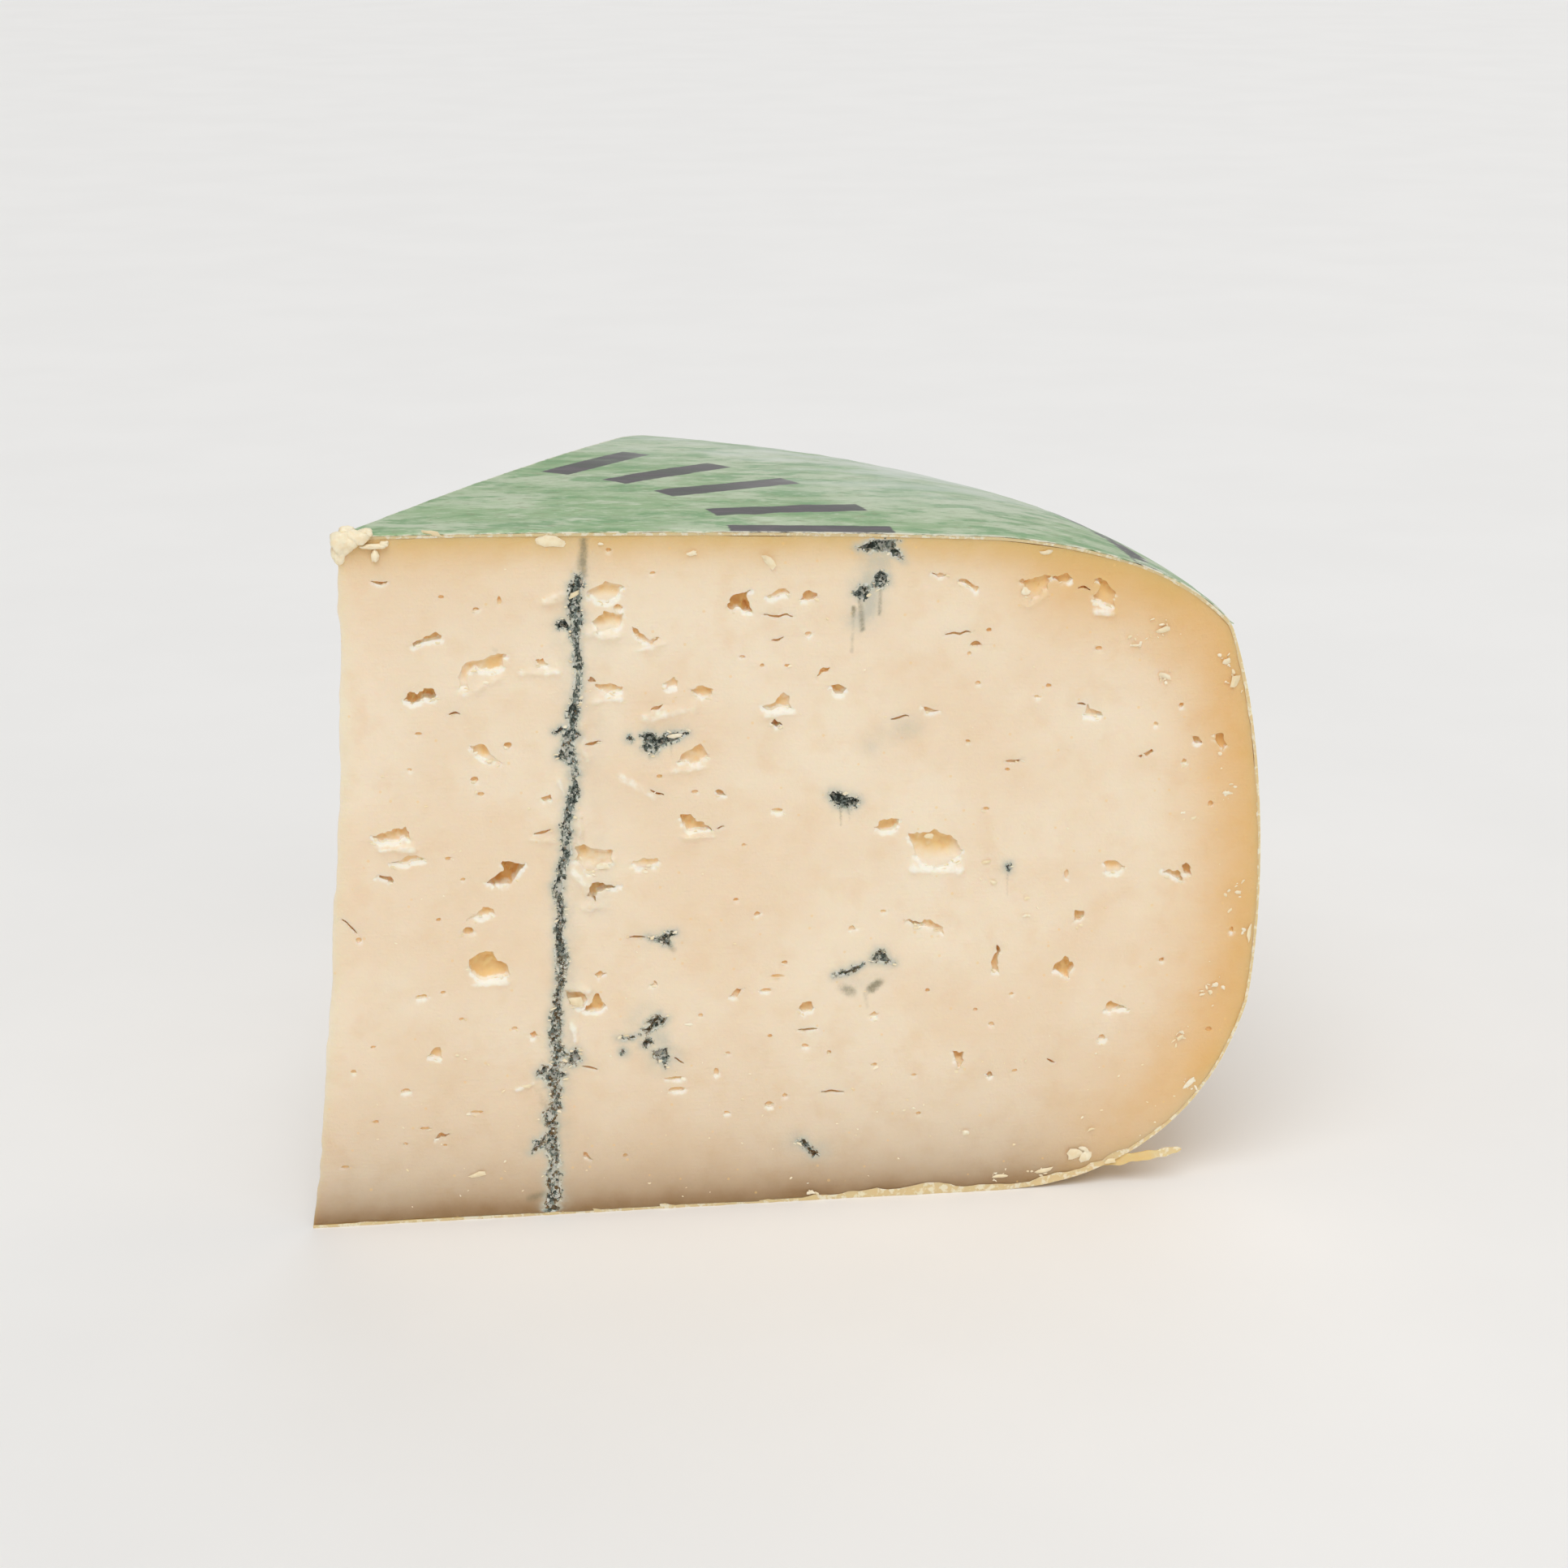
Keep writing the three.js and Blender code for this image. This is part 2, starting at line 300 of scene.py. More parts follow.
# %% Holes of the front cut
EYES = [
    (1.3, 0.2, [(9.1, 82.1), (10.9, 82.8), (12.8, 83.3), (12.9, 83.9), (11, 83.7), (9.2, 82.8)]),
    (2.4, 0.0, [(7.8, 75.2), (8.5, 76.3), (9.3, 75.9), (10.5, 76.3), (11.4, 76.7), (12.2, 75.5),
                (11.6, 75), (10.2, 75), (9.6, 74.6), (8.8, 74.5)]),
    (1.0, 0.7, [(15, 76.3), (16.3, 76.4), (16.3, 78.2), (17, 78.9), (18, 78.5), (19.2, 78.4),
                (20.8, 79.2), (21.4, 80.8), (20.2, 81), (17.5, 80), (16, 79.8), (15, 78)]),
    (0.9, 0.8, [(16.2, 68.5), (17.4, 68.6), (19.2, 67.2), (20.3, 66), (18.9, 66), (17, 67.1)]),
    (1.5, 0.4, [(2.7, 56.3), (5, 57.1), (7.4, 57.7), (8, 55.9), (6, 55.5), (4.2, 55.2)]),
    (0.9, 0.5, [(5, 52.6), (6.5, 53), (7.5, 53.7), (9.8, 53.1), (8.8, 52.8), (6.8, 52.3)]),
    (1.4, 0.2, [(2.7, 50.7), (4, 50.9), (5, 50.6), (5.4, 50.3), (5.3, 49.3), (4.5, 50.3)]),
    (3.2, 0.0, [(20.1, 52.2), (23.4, 51.7), (22.5, 50.4), (21.2, 48.8), (20, 48.9), (19, 48.4),
                (18, 49.2), (19, 49.8), (20.4, 51.1)]),
    (0.8, 0.8, [(15.2, 44), (16.5, 44.7), (18, 45.9), (18.8, 45.3), (19, 44.6), (17, 44.1)]),
    (2.1, 0.3, [(15.5, 38.4), (16.5, 39.1), (17.6, 39.5), (18.7, 39.3), (19.4, 38.2),
                (20.5, 37.3), (20.8, 36.3), (20, 35.6), (18.5, 35.4), (17.2, 35.2), (16.2, 35.6),
                (15.5, 36.2)]),
    (2.6, 0.0, [(50.6, 86.2), (51, 87.6), (52.5, 88.2), (53.8, 88.6), (53.2, 87.5), (53.9, 85.2),
                (52, 86), (51.2, 85.7)]),
    (0.8, 0.7, [(55.6, 87.5), (57.4, 88.4), (58.5, 88.7), (58.9, 87.8), (56.5, 87.2)]),
    (1.6, 0.2, [(60.4, 87), (61, 87.9), (61.6, 88.2), (62.8, 87.4), (62.3, 86.7)]),
    (0.8, 0.7, [(42, 76.1), (43, 76.7), (44, 76.3), (43.8, 75.5), (42.6, 75.3)]),
    (1.1, 0.5, [(45.5, 75), (47.4, 75.5), (48.8, 74.9), (48.5, 74.1), (47.4, 73.9), (46, 74.5)]),
    (1.3, 0.3, [(57.3, 72.8), (58.2, 74.1), (59.1, 73.7), (59.1, 72.6), (59.7, 71.8), (58.5, 72),
                (56.2, 71.6), (55.2, 72.2)]),
    (1.9, 0.0, [(56.2, 70), (56.9, 70.5), (58.2, 69.5), (57, 69.4)]),
    (0.7, 0.4, [(62.5, 76), (63, 76.8), (64.6, 77.2), (64.3, 76.5)]),
    (1.6, 0.1, [(64.4, 74.7), (65.8, 75), (66.8, 74.4), (66.2, 73.5), (65.3, 73.6)]),
    (1.2, 0.4, [(43.8, 65.2), (44.3, 66.1), (45.8, 67.2), (47, 67.3), (48.1, 66), (46.5, 65),
                (45.8, 64.4), (45.2, 65.1)]),
    (1.0, 0.2, [(48.7, 60.6), (49.5, 61), (50.6, 60.3), (49.8, 60)]),
    (1.6, 0.4, [(44.3, 57.6), (45.6, 57.6), (46.3, 56.4), (47.3, 56.4), (48.6, 55), (45.6, 55),
                (44.3, 56.6)]),
    (0.5, 1.0, [(37.3, 51), (39, 51.6), (41.2, 51.4), (40.8, 50.4), (38.6, 50.2)]),
    (1.4, 0.2, [(70.8, 54.4), (71.9, 55.6), (74.3, 55.6), (73.9, 54.4), (72.8, 54.1)]),
    (1.5, 0.8, [(75.4, 53.8), (77, 53.6), (79, 54), (80.6, 53.2), (82, 52.4), (83.4, 50.9),
                (82.4, 49.5), (81, 48.7), (79.5, 48.3), (78, 48.8), (76.5, 50), (75.8, 52.6)]),
    (1.0, 0.5, [(74.8, 41.1), (77, 40.8), (78.6, 41.2), (80.3, 39.9), (80.4, 38.9), (78.5, 39.8),
                (76.3, 40.3)]),
    (0.8, 0.5, [(78.3, 89.8), (79.4, 90), (80.2, 89.6), (79.2, 89.3)]),
    (0.8, 0.5, [(81.6, 89), (83, 89), (84.7, 87.5), (84.2, 87.1), (82.8, 88.3)]),
    (1.0, 0.7, [(90, 89), (92.3, 88.8), (94.3, 89), (93.9, 87.2), (92.8, 86.2), (91.8, 85.9),
                (90.6, 87.3)]),
    (1.0, 0.4, [(94.3, 88.8), (96.6, 89.4), (97.5, 88.5), (95.9, 87.8)]),
    (1.3, 0.5, [(100.4, 88.3), (101.1, 88.5), (103.2, 86.4), (103.3, 84.4), (101.4, 84.9),
                (100.1, 86), (101.2, 87.4)]),
    (1.1, 0.3, [(83.4, 79.9), (84.3, 80.4), (85, 79.9), (84.2, 79.4)]),
    (0.9, 0.4, [(77, 71.4), (77.7, 71.3), (79.7, 70.8), (77.7, 70.6)]),
    (1.2, 0.4, [(99.4, 69.4), (99.8, 71), (100.6, 70.3), (102.3, 69.3), (100.4, 69)]),
    (1.0, 0.1, [(106.9, 63.6), (109, 64.2), (109.1, 63.7), (107.5, 63.2)]),
    (1.2, 0.1, [(114.4, 66), (115.3, 65.8), (115.9, 64.6), (115.1, 64.4)]),
    (1.1, 0.2, [(117.9, 66.2), (118.6, 65.8), (119.3, 64.7), (118.8, 63.6), (117.7, 64.9)]),
    (0.7, 0.8, [(102.7, 48), (104.2, 48.5), (105.7, 47.7), (105, 46.5), (103.4, 46.6)]),
    (1.2, 0.4, [(111, 46.4), (112.5, 45.6), (114, 44.6), (113.8, 45.8), (113.4, 46.9)]),
    (2.0, 0.0, [(113.6, 47.3), (114.3, 47.9), (115.1, 47.1), (115, 45.9), (114.3, 46.1)]),
    (1.6, 0.0, [(98.9, 41.1), (100.1, 41), (99.9, 39.8), (99, 39.7)]),
    (2.0, 0.1, [(96, 32.6), (96.4, 33.5), (97.7, 34.6), (99.1, 33.1), (98.1, 31.4), (96.8, 32.4)]),
    (1.4, 0.3, [(87.4, 32.8), (87.3, 34), (88, 37.2), (88.3, 36.3), (88.2, 34.6), (88.6, 32.9)]),
    (1.1, 0.4, [(103.4, 26.5), (104.3, 27.8), (106.9, 26.5), (104.4, 26.2)]),
    (1.6, 0.3, [(60.4, 28.8), (61.1, 29.8), (62, 29.9), (62.8, 28.7), (61.3, 28)]),
    (1.3, 0.3, [(82, 21.3), (83.4, 21.1), (83.3, 19.3), (82.8, 18.8), (82.3, 20.3)]),
    (1.1, 0.3, [(86.6, 17.3), (87.1, 18.1), (88.1, 17.2), (87.3, 16.9)]),
    (1.0, 0.4, [(51, 31.2), (51.7, 32), (52.9, 32.2), (52, 30.9)]),
    (0.9, 0.5, [(9.4, 24.7), (10, 25.9), (11, 25.9), (11.1, 24), (10.2, 24.2)]),
    (0.9, 0.4, [(9.7, 12.3), (10.3, 13.1), (11.9, 12.7), (10.8, 12.3)]),
    (0.8, 0.3, [(29.9, 8.4), (30.4, 9.3), (31.6, 8)]),
    (0.8, 0.7, [(32.2, 35.3), (33, 35.8), (33.9, 35.1), (33, 34.4)]),
    (0.8, 0.7, [(39.6, 33.3), (40.3, 33.9), (41, 33.3), (40.3, 32.8)]),
    (0.6, 0.8, [(70, 27.4), (70.8, 28), (71.6, 27.3), (70.8, 26.7)]),
    (1.0, 0.9, [(32, 88.6), (34.4, 90.2), (37, 89.4), (36.2, 87.6), (33.6, 87.3)]),
    (1.1, 0.9, [(32.5, 84.6), (34.6, 86.2), (37, 85.6), (36.2, 83.8), (33.6, 83.2)]),
    (1.0, 0.6, [(38, 84), (39.2, 83.2), (40.3, 82.2), (41.9, 82.4), (40.4, 81.5), (38.5, 82.9)]),
    (1.1, 0.1, [(31.8, 76.9), (32.5, 77.2), (33, 76.6), (32.2, 76.5)]),
    (0.9, 0.5, [(33, 76.2), (35.4, 76.4), (36.8, 75.9), (36.5, 75.1), (34.6, 74.6)]),
    (1.2, 0.8, [(30, 54.2), (32.5, 53.2), (35, 52.9), (34.6, 51), (32, 50), (30.2, 51.6)]),
    (1.8, 0.1, [(31.5, 46.9), (32, 48.3), (33.5, 48.3), (36, 47.9), (34, 47.4), (32.8, 47),
                (32.8, 45.5), (32.1, 46.2)]),
    (1.8, 0.1, [(30.8, 30.1), (31.2, 30.9), (32.3, 32.7), (33.9, 30.6), (32.2, 29.9)]),
    (0.9, 0.5, [(25, 79.6), (26, 80), (26.7, 79.2), (25.7, 78.7)]),
    (0.9, 0.5, [(25.5, 60.9), (26.6, 61.1), (26.9, 60.4), (25.9, 60.2)]),
    (0.7, 0.6, [(23.1, 27), (24, 27.4), (24.6, 26.6), (23.7, 26.1)]),
    (1.0, 0.8, [(28.2, 33), (30.2, 33.2), (31.4, 31.8), (30, 30.4), (28.6, 31)]),
]
PITS = [
    (13, 88.8, 0.6, 0.4), (17.5, 86.9, 0.7, 0.4), (20.6, 87.9, 0.5, 1.0), (9.6, 70.2, 0.7, 0.4),
    (16.6, 63.7, 0.9, 0.6), (17.4, 61.6, 0.7, 0.5), (8.2, 65.4, 0.6, 0.4), (11.4, 44.1, 0.6, 0.4),
    (14.8, 49.7, 0.6, 0.4), (40.8, 91, 0.7, 0.4), (35, 94.3, 0.7, 0.5), (61.6, 82, 0.8, 0.6),
    (52.6, 79.3, 0.6, 0.4), (55.2, 78, 0.6, 0.5), (58.7, 77.8, 0.6, 0.4), (57.3, 57.5, 1.2, 0.6),
    (52.8, 52.8, 0.6, 0.4), (41.4, 63.2, 0.6, 0.5), (46, 60.8, 0.7, 0.5), (54.5, 42.9, 0.7, 0.5),
    (51.6, 45.1, 0.6, 0.4), (58.3, 35.7, 0.6, 0.5), (67.6, 40.2, 0.9, 0.7), (72, 42.4, 0.6, 0.4),
    (86, 81.9, 0.7, 0.5), (84.7, 74.5, 0.6, 0.5), (92.8, 72.3, 0.6, 0.4), (94.4, 73.8, 0.6, 0.5),
    (83.4, 66.4, 0.6, 0.4), (86.1, 56.7, 0.7, 0.4), (109.4, 67.8, 0.6, 0.5),
    (112.9, 70.3, 0.6, 0.6), (101.2, 78.8, 0.7, 0.5), (113.5, 62.3, 0.6, 0.6),
    (117.6, 56, 0.6, 0.7), (121.2, 37.4, 0.5, 0.7), (118.6, 22.8, 0.7, 0.6),
    (111.4, 33.5, 0.6, 0.6), (8.7, 33.3, 1.3, 0.6), (11.6, 33.8, 0.6, 0.4), (14, 29.8, 0.6, 0.4),
    (2, 26.3, 0.6, 0.4), (-0.8, 22.8, 0.6, 0.5), (21.2, 27.9, 0.6, 0.5), (6.1, 19.6, 1.0, 0.6),
    (1.9, 15.4, 0.7, 0.4), (15.8, 15.9, 1.4, 0.4), (8.5, 13.9, 1.1, 0.4), (5.8, 11.8, 0.6, 0.4),
    (-2.5, 8.9, 0.9, 0.4), (46.7, 28.7, 0.6, 0.5), (48.8, 20.1, 0.6, 0.9), (50.5, 22.8, 0.6, 0.5),
    (55.8, 31.8, 1.2, 0.5), (57.5, 33.8, 1.6, 0.4), (56.4, 25, 0.6, 0.5), (50.2, 13.9, 0.7, 0.4),
    (56.1, 14.8, 1.0, 0.8), (58.3, 16.1, 0.6, 0.5), (36.1, 8.4, 0.6, 0.5), (61.2, 23.3, 0.7, 0.5),
    (64.5, 22.2, 0.6, 0.5), (71, 19.9, 0.7, 0.5), (76.6, 18.1, 0.6, 0.4), (87.5, 25.2, 0.7, 0.5),
    (85.1, 27.5, 0.6, 0.5), (90.2, 29.5, 0.6, 0.4), (90.8, 17.9, 0.7, 0.4), (77.3, 12.3, 0.6, 0.4),
    (78.3, 30.7, 0.6, 0.5), (103.2, 22.2, 1.0, 0.8), (97.5, 46.7, 0.6, 1.2), (21.2, 68.3, 0.8, 0.7),
    (15.3, 42.3, 1.0, 0.9), (12.9, 52.8, 0.8, 0.4), (89, 62.2, 0.6, 0.4), (83.3, 78.6, 0.5, 0.5),
    (0.6, 41.7, 0.6, 0.6), (36.2, 86.5, 1.0, 0.8), (43, 19.4, 2.0, 0.5), (43.2, 17.7, 1.8, 0.6),
    (11.2, 11.3, 0.5, 0.3),
]
CRACKS = [
    (4, 91.2, 6.4, 90.9, 0.4), (13.3, 72.6, 15.2, 72.9, 0.3), (39.8, 61.4, 42.3, 60.4, 0.3),
    (56.3, 81.2, 58.5, 81.8, 0.3), (55, 84.8, 60, 84.8, 0.3), (49, 55.2, 50.1, 55.6, 0.3),
    (60, 25.6, 63.2, 25.9, 0.3), (63, 16.5, 67, 16.2, 0.3), (95.4, 19.4, 96.8, 18.7, 0.3),
    (98.4, 71.3, 99.7, 71.1, 0.3), (40.2, 72.2, 42, 73.2, 0.5), (79.5, 81.2, 84, 81.8, 0.3),
    (72.5, 70, 75.5, 70.3, 0.3), (88.5, 63.5, 91.2, 63.3, 0.4), (98, 87.4, 100, 87, 0.3),
    (31.3, 68, 33.8, 68.1, 0.4), (24.3, 55.7, 27, 56.3, 0.4), (-2, 45.2, 1, 42, 0.3),
    (36.8, 40.4, 39.5, 40.3, 0.3), (42.8, 22.5, 44.5, 21.6, 0.3), (30, 22, 32.8, 21, 0.3),
]
print(len(EYES), "eyes,", len(PITS), "pits and", len(CRACKS), "cracks on the front cut")

# %% [markdown]
# ## Where the mould grew
#
# Blue mould needs air, so it lines the needle's channel and a few holes that the channel fed.
# The vein is a centre line with a width at each point. The separate spots are small ragged
# hollows. Where the knife dragged mould over the paste it left stains, written as two ends, a
# width and a strength, and a greyish haze spreads into the paste round all of it. Ridges are
# where the blade pressed paste up, written the same way with how far it rises.

# %% Mould of the front cut
VEIN = [
    (30.8, 90.9, 1.1), (30.7, 88.8, 1.5), (30.6, 87.5, 1.7), (30.5, 86, 2.3), (30.6, 84, 1.4),
    (30.5, 82, 1.1), (30.6, 80, 1.0), (30.7, 78.5, 0.8), (30.5, 76.5, 0.7), (30.4, 74, 1.0),
    (30, 72.5, 1.1), (29.8, 70.5, 1.2), (29.3, 67.8, 2.0), (29.6, 65.5, 1.5), (29.8, 61.5, 1.0),
    (29.2, 59, 1.0), (29, 57, 1.3), (28.8, 53.6, 1.0), (28.2, 50.5, 1.1), (27.6, 47.1, 1.5),
    (27.8, 45, 1.3), (27.8, 43, 1.2), (27.6, 41, 1.1), (27.8, 38, 1.2), (27.6, 35, 1.2),
    (27.1, 31, 1.1), (26.6, 28.5, 1.2), (26.7, 25.5, 1.4), (26.8, 23.2, 2.3), (26.3, 20, 2.0),
    (26.6, 16, 1.7), (26, 14, 1.8), (26, 11, 2.1), (26, 8, 2.1), (26, 5.2, 2.0), (25.7, 0.2, 2.2),
]
SPOTS = [
    (1.2, [(28.2, 84), (28.5, 85), (29.4, 85.2), (29.6, 84)]),
    (1.0, [(27.6, 66.4), (28.1, 67.4), (29, 67.2), (28.6, 66)]),
    (0.8, [(27.4, 70.1), (28.5, 70.8), (28.9, 70.4), (28, 69.9)]),
    (1.0, [(28.2, 22.6), (28.8, 24.2), (29.8, 24.3), (30.3, 23.2), (29.2, 22.2)]),
    (0.8, [(24.3, 20.8), (24.8, 21.9), (25.7, 21.7), (25.5, 20.6)]),
    (0.8, [(23, 9.5), (24, 11.4), (25.2, 12.2), (24.6, 10.4)]),
    (1.4, [(68, 93.7), (69.4, 94.6), (70.4, 94.9), (72, 95.4), (73.8, 95.9), (73, 94.6),
           (74.2, 91.8), (72.2, 92.8), (70.6, 93), (69.2, 93.4)]),
    (1.0, [(70.1, 88.7), (70.5, 89.9), (71.5, 90.4), (72.4, 89.6), (72, 88.4), (71, 88.1)]),
    (0.9, [(67.7, 87.4), (68.4, 88.5), (69.6, 88.3), (69.5, 87), (68.5, 86.8)]),
    (1.2, [(38.9, 68.9), (40.4, 69.2), (41, 68.2), (42.8, 69), (45, 69.4), (43.4, 68.2),
           (41.3, 67.2), (40.4, 66.3), (39.5, 66.6), (39.6, 68)]),
    (1.3, [(64.2, 59.5), (65, 59.9), (66.5, 59.5), (68.6, 58.4), (67.9, 57.8), (67, 57.3),
           (66.2, 58), (65.2, 58.4)]),
    (0.9, [(39.5, 40.2), (41.2, 40), (42, 41), (42.4, 40.6), (43.4, 40.6), (42.6, 40),
           (42.4, 38.8), (41.6, 39.4)]),
    (1.3, [(70.3, 35.2), (71.4, 36.7), (72.2, 36), (73.2, 35), (71.4, 35.2)]),
    (0.8, [(65.4, 33.3), (67.4, 34.3), (69.4, 34.8), (67.6, 33.8)]),
    (1.2, [(39, 28), (40.2, 28.6), (41, 29.2), (41.8, 28.2), (40.8, 27.2), (39.8, 26.8),
           (38.6, 26.9), (39.8, 27.5)]),
    (0.9, [(38.6, 25.1), (39.4, 25.8), (40, 25.2), (39.2, 24.6)]),
    (0.8, [(35.4, 25.9), (37, 26.3), (38.5, 26.1), (37, 25.8)]),
    (0.8, [(35.6, 23.8), (36.1, 24.2), (36.4, 23.7), (36, 23.4)]),
    (1.1, [(40, 23.5), (41.2, 23.7), (42.3, 24.2), (42, 22.8), (41.6, 21), (41.1, 22)]),
    (0.8, [(59.8, 9.1), (61.2, 9.2), (63, 7), (62.4, 6.8), (61, 8.3)]),
    (0.9, [(89.1, 47.6), (89.2, 48.4), (89.5, 48.4), (89.5, 47.6)]),
    (0.7, [(37.2, 68.5), (37.5, 68.9), (37.8, 68.5), (37.5, 68.2)]),
]
STAINS = [
    (31.9, 96.4, 31.6, 91.0, 0.7, 0.75), (31.6, 93.6, 31.5, 92, 0.9, 0.9),
    (68.5, 86.5, 68.9, 82.6, 0.5, 0.9),
    (67.7, 85.5, 67.5, 79.5, 0.4, 0.7), (71.3, 88, 71.2, 84.5, 0.35, 0.7),
    (40.2, 67.5, 40.2, 65.6, 0.4, 0.6), (43, 68, 43, 66, 0.35, 0.5),
    (42.2, 39.6, 43.2, 38.2, 0.7, 0.6), (66, 58, 66, 55.2, 0.25, 0.6),
    (67.1, 57.8, 67.2, 55.8, 0.2, 0.5), (66.2, 31.6, 67.6, 30.9, 1.0, 0.6),
    (70.4, 31.2, 71.5, 31.9, 0.8, 0.95), (69.6, 30.6, 69.9, 28.4, 0.5, 0.6),
    (89.3, 47.8, 89.4, 44, 0.25, 0.5),
    (22.5, 2.6, 25.5, 3.4, 0.8, 0.6), (24.2, 18.5, 25, 16.5, 0.9, 0.5),
    (60, 9.2, 62.6, 7.2, 1.0, 0.4), (19.3, 81.8, 19.9, 81.4, 0.5, 0.35),
    (31, 87, 31.4, 80, 0.5, 0.4), (26.6, 26, 26.9, 3, 0.9, 0.4),
]
HAZES = [
    (31.4, 96, 29.6, 60, 2.6, 0.5), (29.4, 62, 26.6, 2, 2.4, 0.5),
    (33.4, 84, 32.6, 44, 3.4, 0.3), (71, 95, 69, 85, 3.0, 1.0),
    (40, 68, 44, 69, 2.2, 0.6), (65, 59, 68, 58, 1.6, 0.5), (40, 40, 43, 40, 2.0, 0.45),
    (67, 32, 72, 33, 2.2, 0.5), (39, 28, 41.5, 22.5, 3.0, 0.8), (60.5, 8.6, 62.5, 7.4, 2.8, 0.7),
    (70, 66.4, 76, 69, 2.4, 0.45), (29, 85, 27.6, 82, 1.5, 0.5),
]
RIDGES = [
    (26.5, 87.5, 30.6, 88.9, 0.9, 0.4), (31.3, 83.2, 36, 82.7, 1.0, 0.5),
    (39.6, 71.4, 46, 72.4, 1.3, 0.35), (36.5, 63.4, 40.6, 60.4, 1.0, 0.12),
    (3.9, 54.4, 8, 54.5, 0.8, 0.45), (32.4, 51.2, 34.8, 51, 0.8, 0.5),
    (29.8, 50.2, 31.6, 47.6, 0.9, 0.4), (28.3, 33.4, 31.4, 33, 0.8, 0.4),
    (27.9, 62.8, 28.6, 60.8, 0.6, 0.35), (23.4, 78.2, 27.9, 78, 0.7, 0.35),
    (21.4, 18.8, 23.6, 19.8, 0.7, 0.3), (76, 48.4, 82.6, 48, 1.1, 0.35),
    (15.6, 75.4, 20.4, 77.6, 0.9, 0.25), (38.4, 80.6, 42, 81.4, 0.7, 0.25),
    (32.6, 73.8, 36.4, 74, 0.8, 0.3), (44.4, 54.2, 48.6, 54.2, 0.8, 0.3),
    (91, 85.2, 93.8, 86.4, 0.8, 0.3), (100.8, 84, 103, 83.6, 0.8, 0.3),
    (30.8, 44.8, 33.4, 45, 0.7, 0.3), (24, 55, 27.2, 54.6, 0.7, 0.25),
    (43.2, 63.9, 47.6, 64.2, 0.7, 0.25), (15.6, 34.6, 20.4, 34.7, 0.7, 0.25),
    (55.8, 71, 59.6, 71.2, 0.7, 0.25), (31, 70.6, 31.6, 66, 0.8, 0.3),
    (30.6, 58, 30.4, 54, 0.7, 0.3), (29, 28.2, 29.4, 25.6, 0.7, 0.3),
]
print(len(SPOTS), "mould spots,", len(STAINS), "stains and", len(HAZES), "hazes")

# %% [markdown]
# ## Turning marks into outlines
#
# Torn paste is ragged, so every outline gets points a fifth of a millimetre apart, moved by
# noise of two sizes. A pit is a wobbly ring, a crack is a thin leaf, and the vein is two
# banks that wander on their own on either side of its centre line.

# %% Ragged outlines
LOOP_STEP = 0.21
PIT_SPREAD = 1.25
BANK_SHARE = 0.42


def ragged(corners, amount=0.11, seed=0):
    """A closed outline through the corners, evenly spaced, then moved by two sizes of noise."""
    closed = np.array(list(corners) + [corners[0]], float)
    loop = respace(closed, LOOP_STEP)[:-1]
    push = [
        amount * noise(loop, 1.2, seed + i) + 0.75 * amount * noise(loop, 0.45, seed + 9 + i)
        for i in (0, 1)
    ]
    return loop + np.stack(push, 1)


def pit_outline(x, z, width, tall, seed=0):
    """A ring whose radius is half the size and wobbles with the angle. The knife drags it a
    little wider than it grew."""
    turn = np.linspace(0, 2 * math.pi, 10, endpoint=False) + x
    wobble = 1 + 0.28 * noise(np.stack([np.cos(turn) + x, np.sin(turn) + z], 1), 0.7, seed)
    wobble *= PIT_SPREAD / 2
    ring = np.stack([x + width * wobble * np.cos(turn), z + tall * wobble * np.sin(turn)])
    return ring.T


def crack_outline(x0, z0, x1, z1, width, seed=0):
    """A leaf between two ends: half its width times the sine of the way along, both sides."""
    share = np.linspace(0, 1, 12)
    middle = np.stack([x0 + (x1 - x0) * share, z0 + (z1 - z0) * share], 1)
    middle[:, 1] += 0.25 * noise(middle, 0.9, seed)
    across = (width / 2 * np.sin(math.pi * share) + 0.03)[:, None] * np.array([0, 1.0])
    return ragged(np.concatenate([middle + across, (middle - across)[::-1]]), 0.04, seed)


def vein_outline(centre, seed=0):
    """Two banks a share of the width from the centre line, each with its own two noises."""
    line = respace(np.array(centre, float), LOOP_STEP)
    place = line[:, :2]
    banks = []
    for side in (-1, 1):
        swell = 1 + 0.6 * noise(place, 1.5, seed + side) + 0.5 * noise(place, 0.55, seed + 5 * side)
        banks.append(place + side * (BANK_SHARE * line[:, 2] * swell)[:, None] * np.array([1.0, 0]))
    return np.concatenate([banks[0], banks[1][::-1]])


print("the vein's outline has", len(vein_outline(VEIN)), "points")

# %% [markdown]
# ## Distance to an outline
#
# How deep a hole is at a point depends on how far the point is from the hole's edge, so this
# cell measures just that. For each point and each stretch of the outline, the nearest place on
# the stretch is found, and the closest stretch wins. A point is inside if a line drawn
# sideways from it crosses the outline an odd number of times.

# %% Distance, nearest edge and inside
BLOCKS = 40  # long lists of points are measured in this many parts, to spare memory


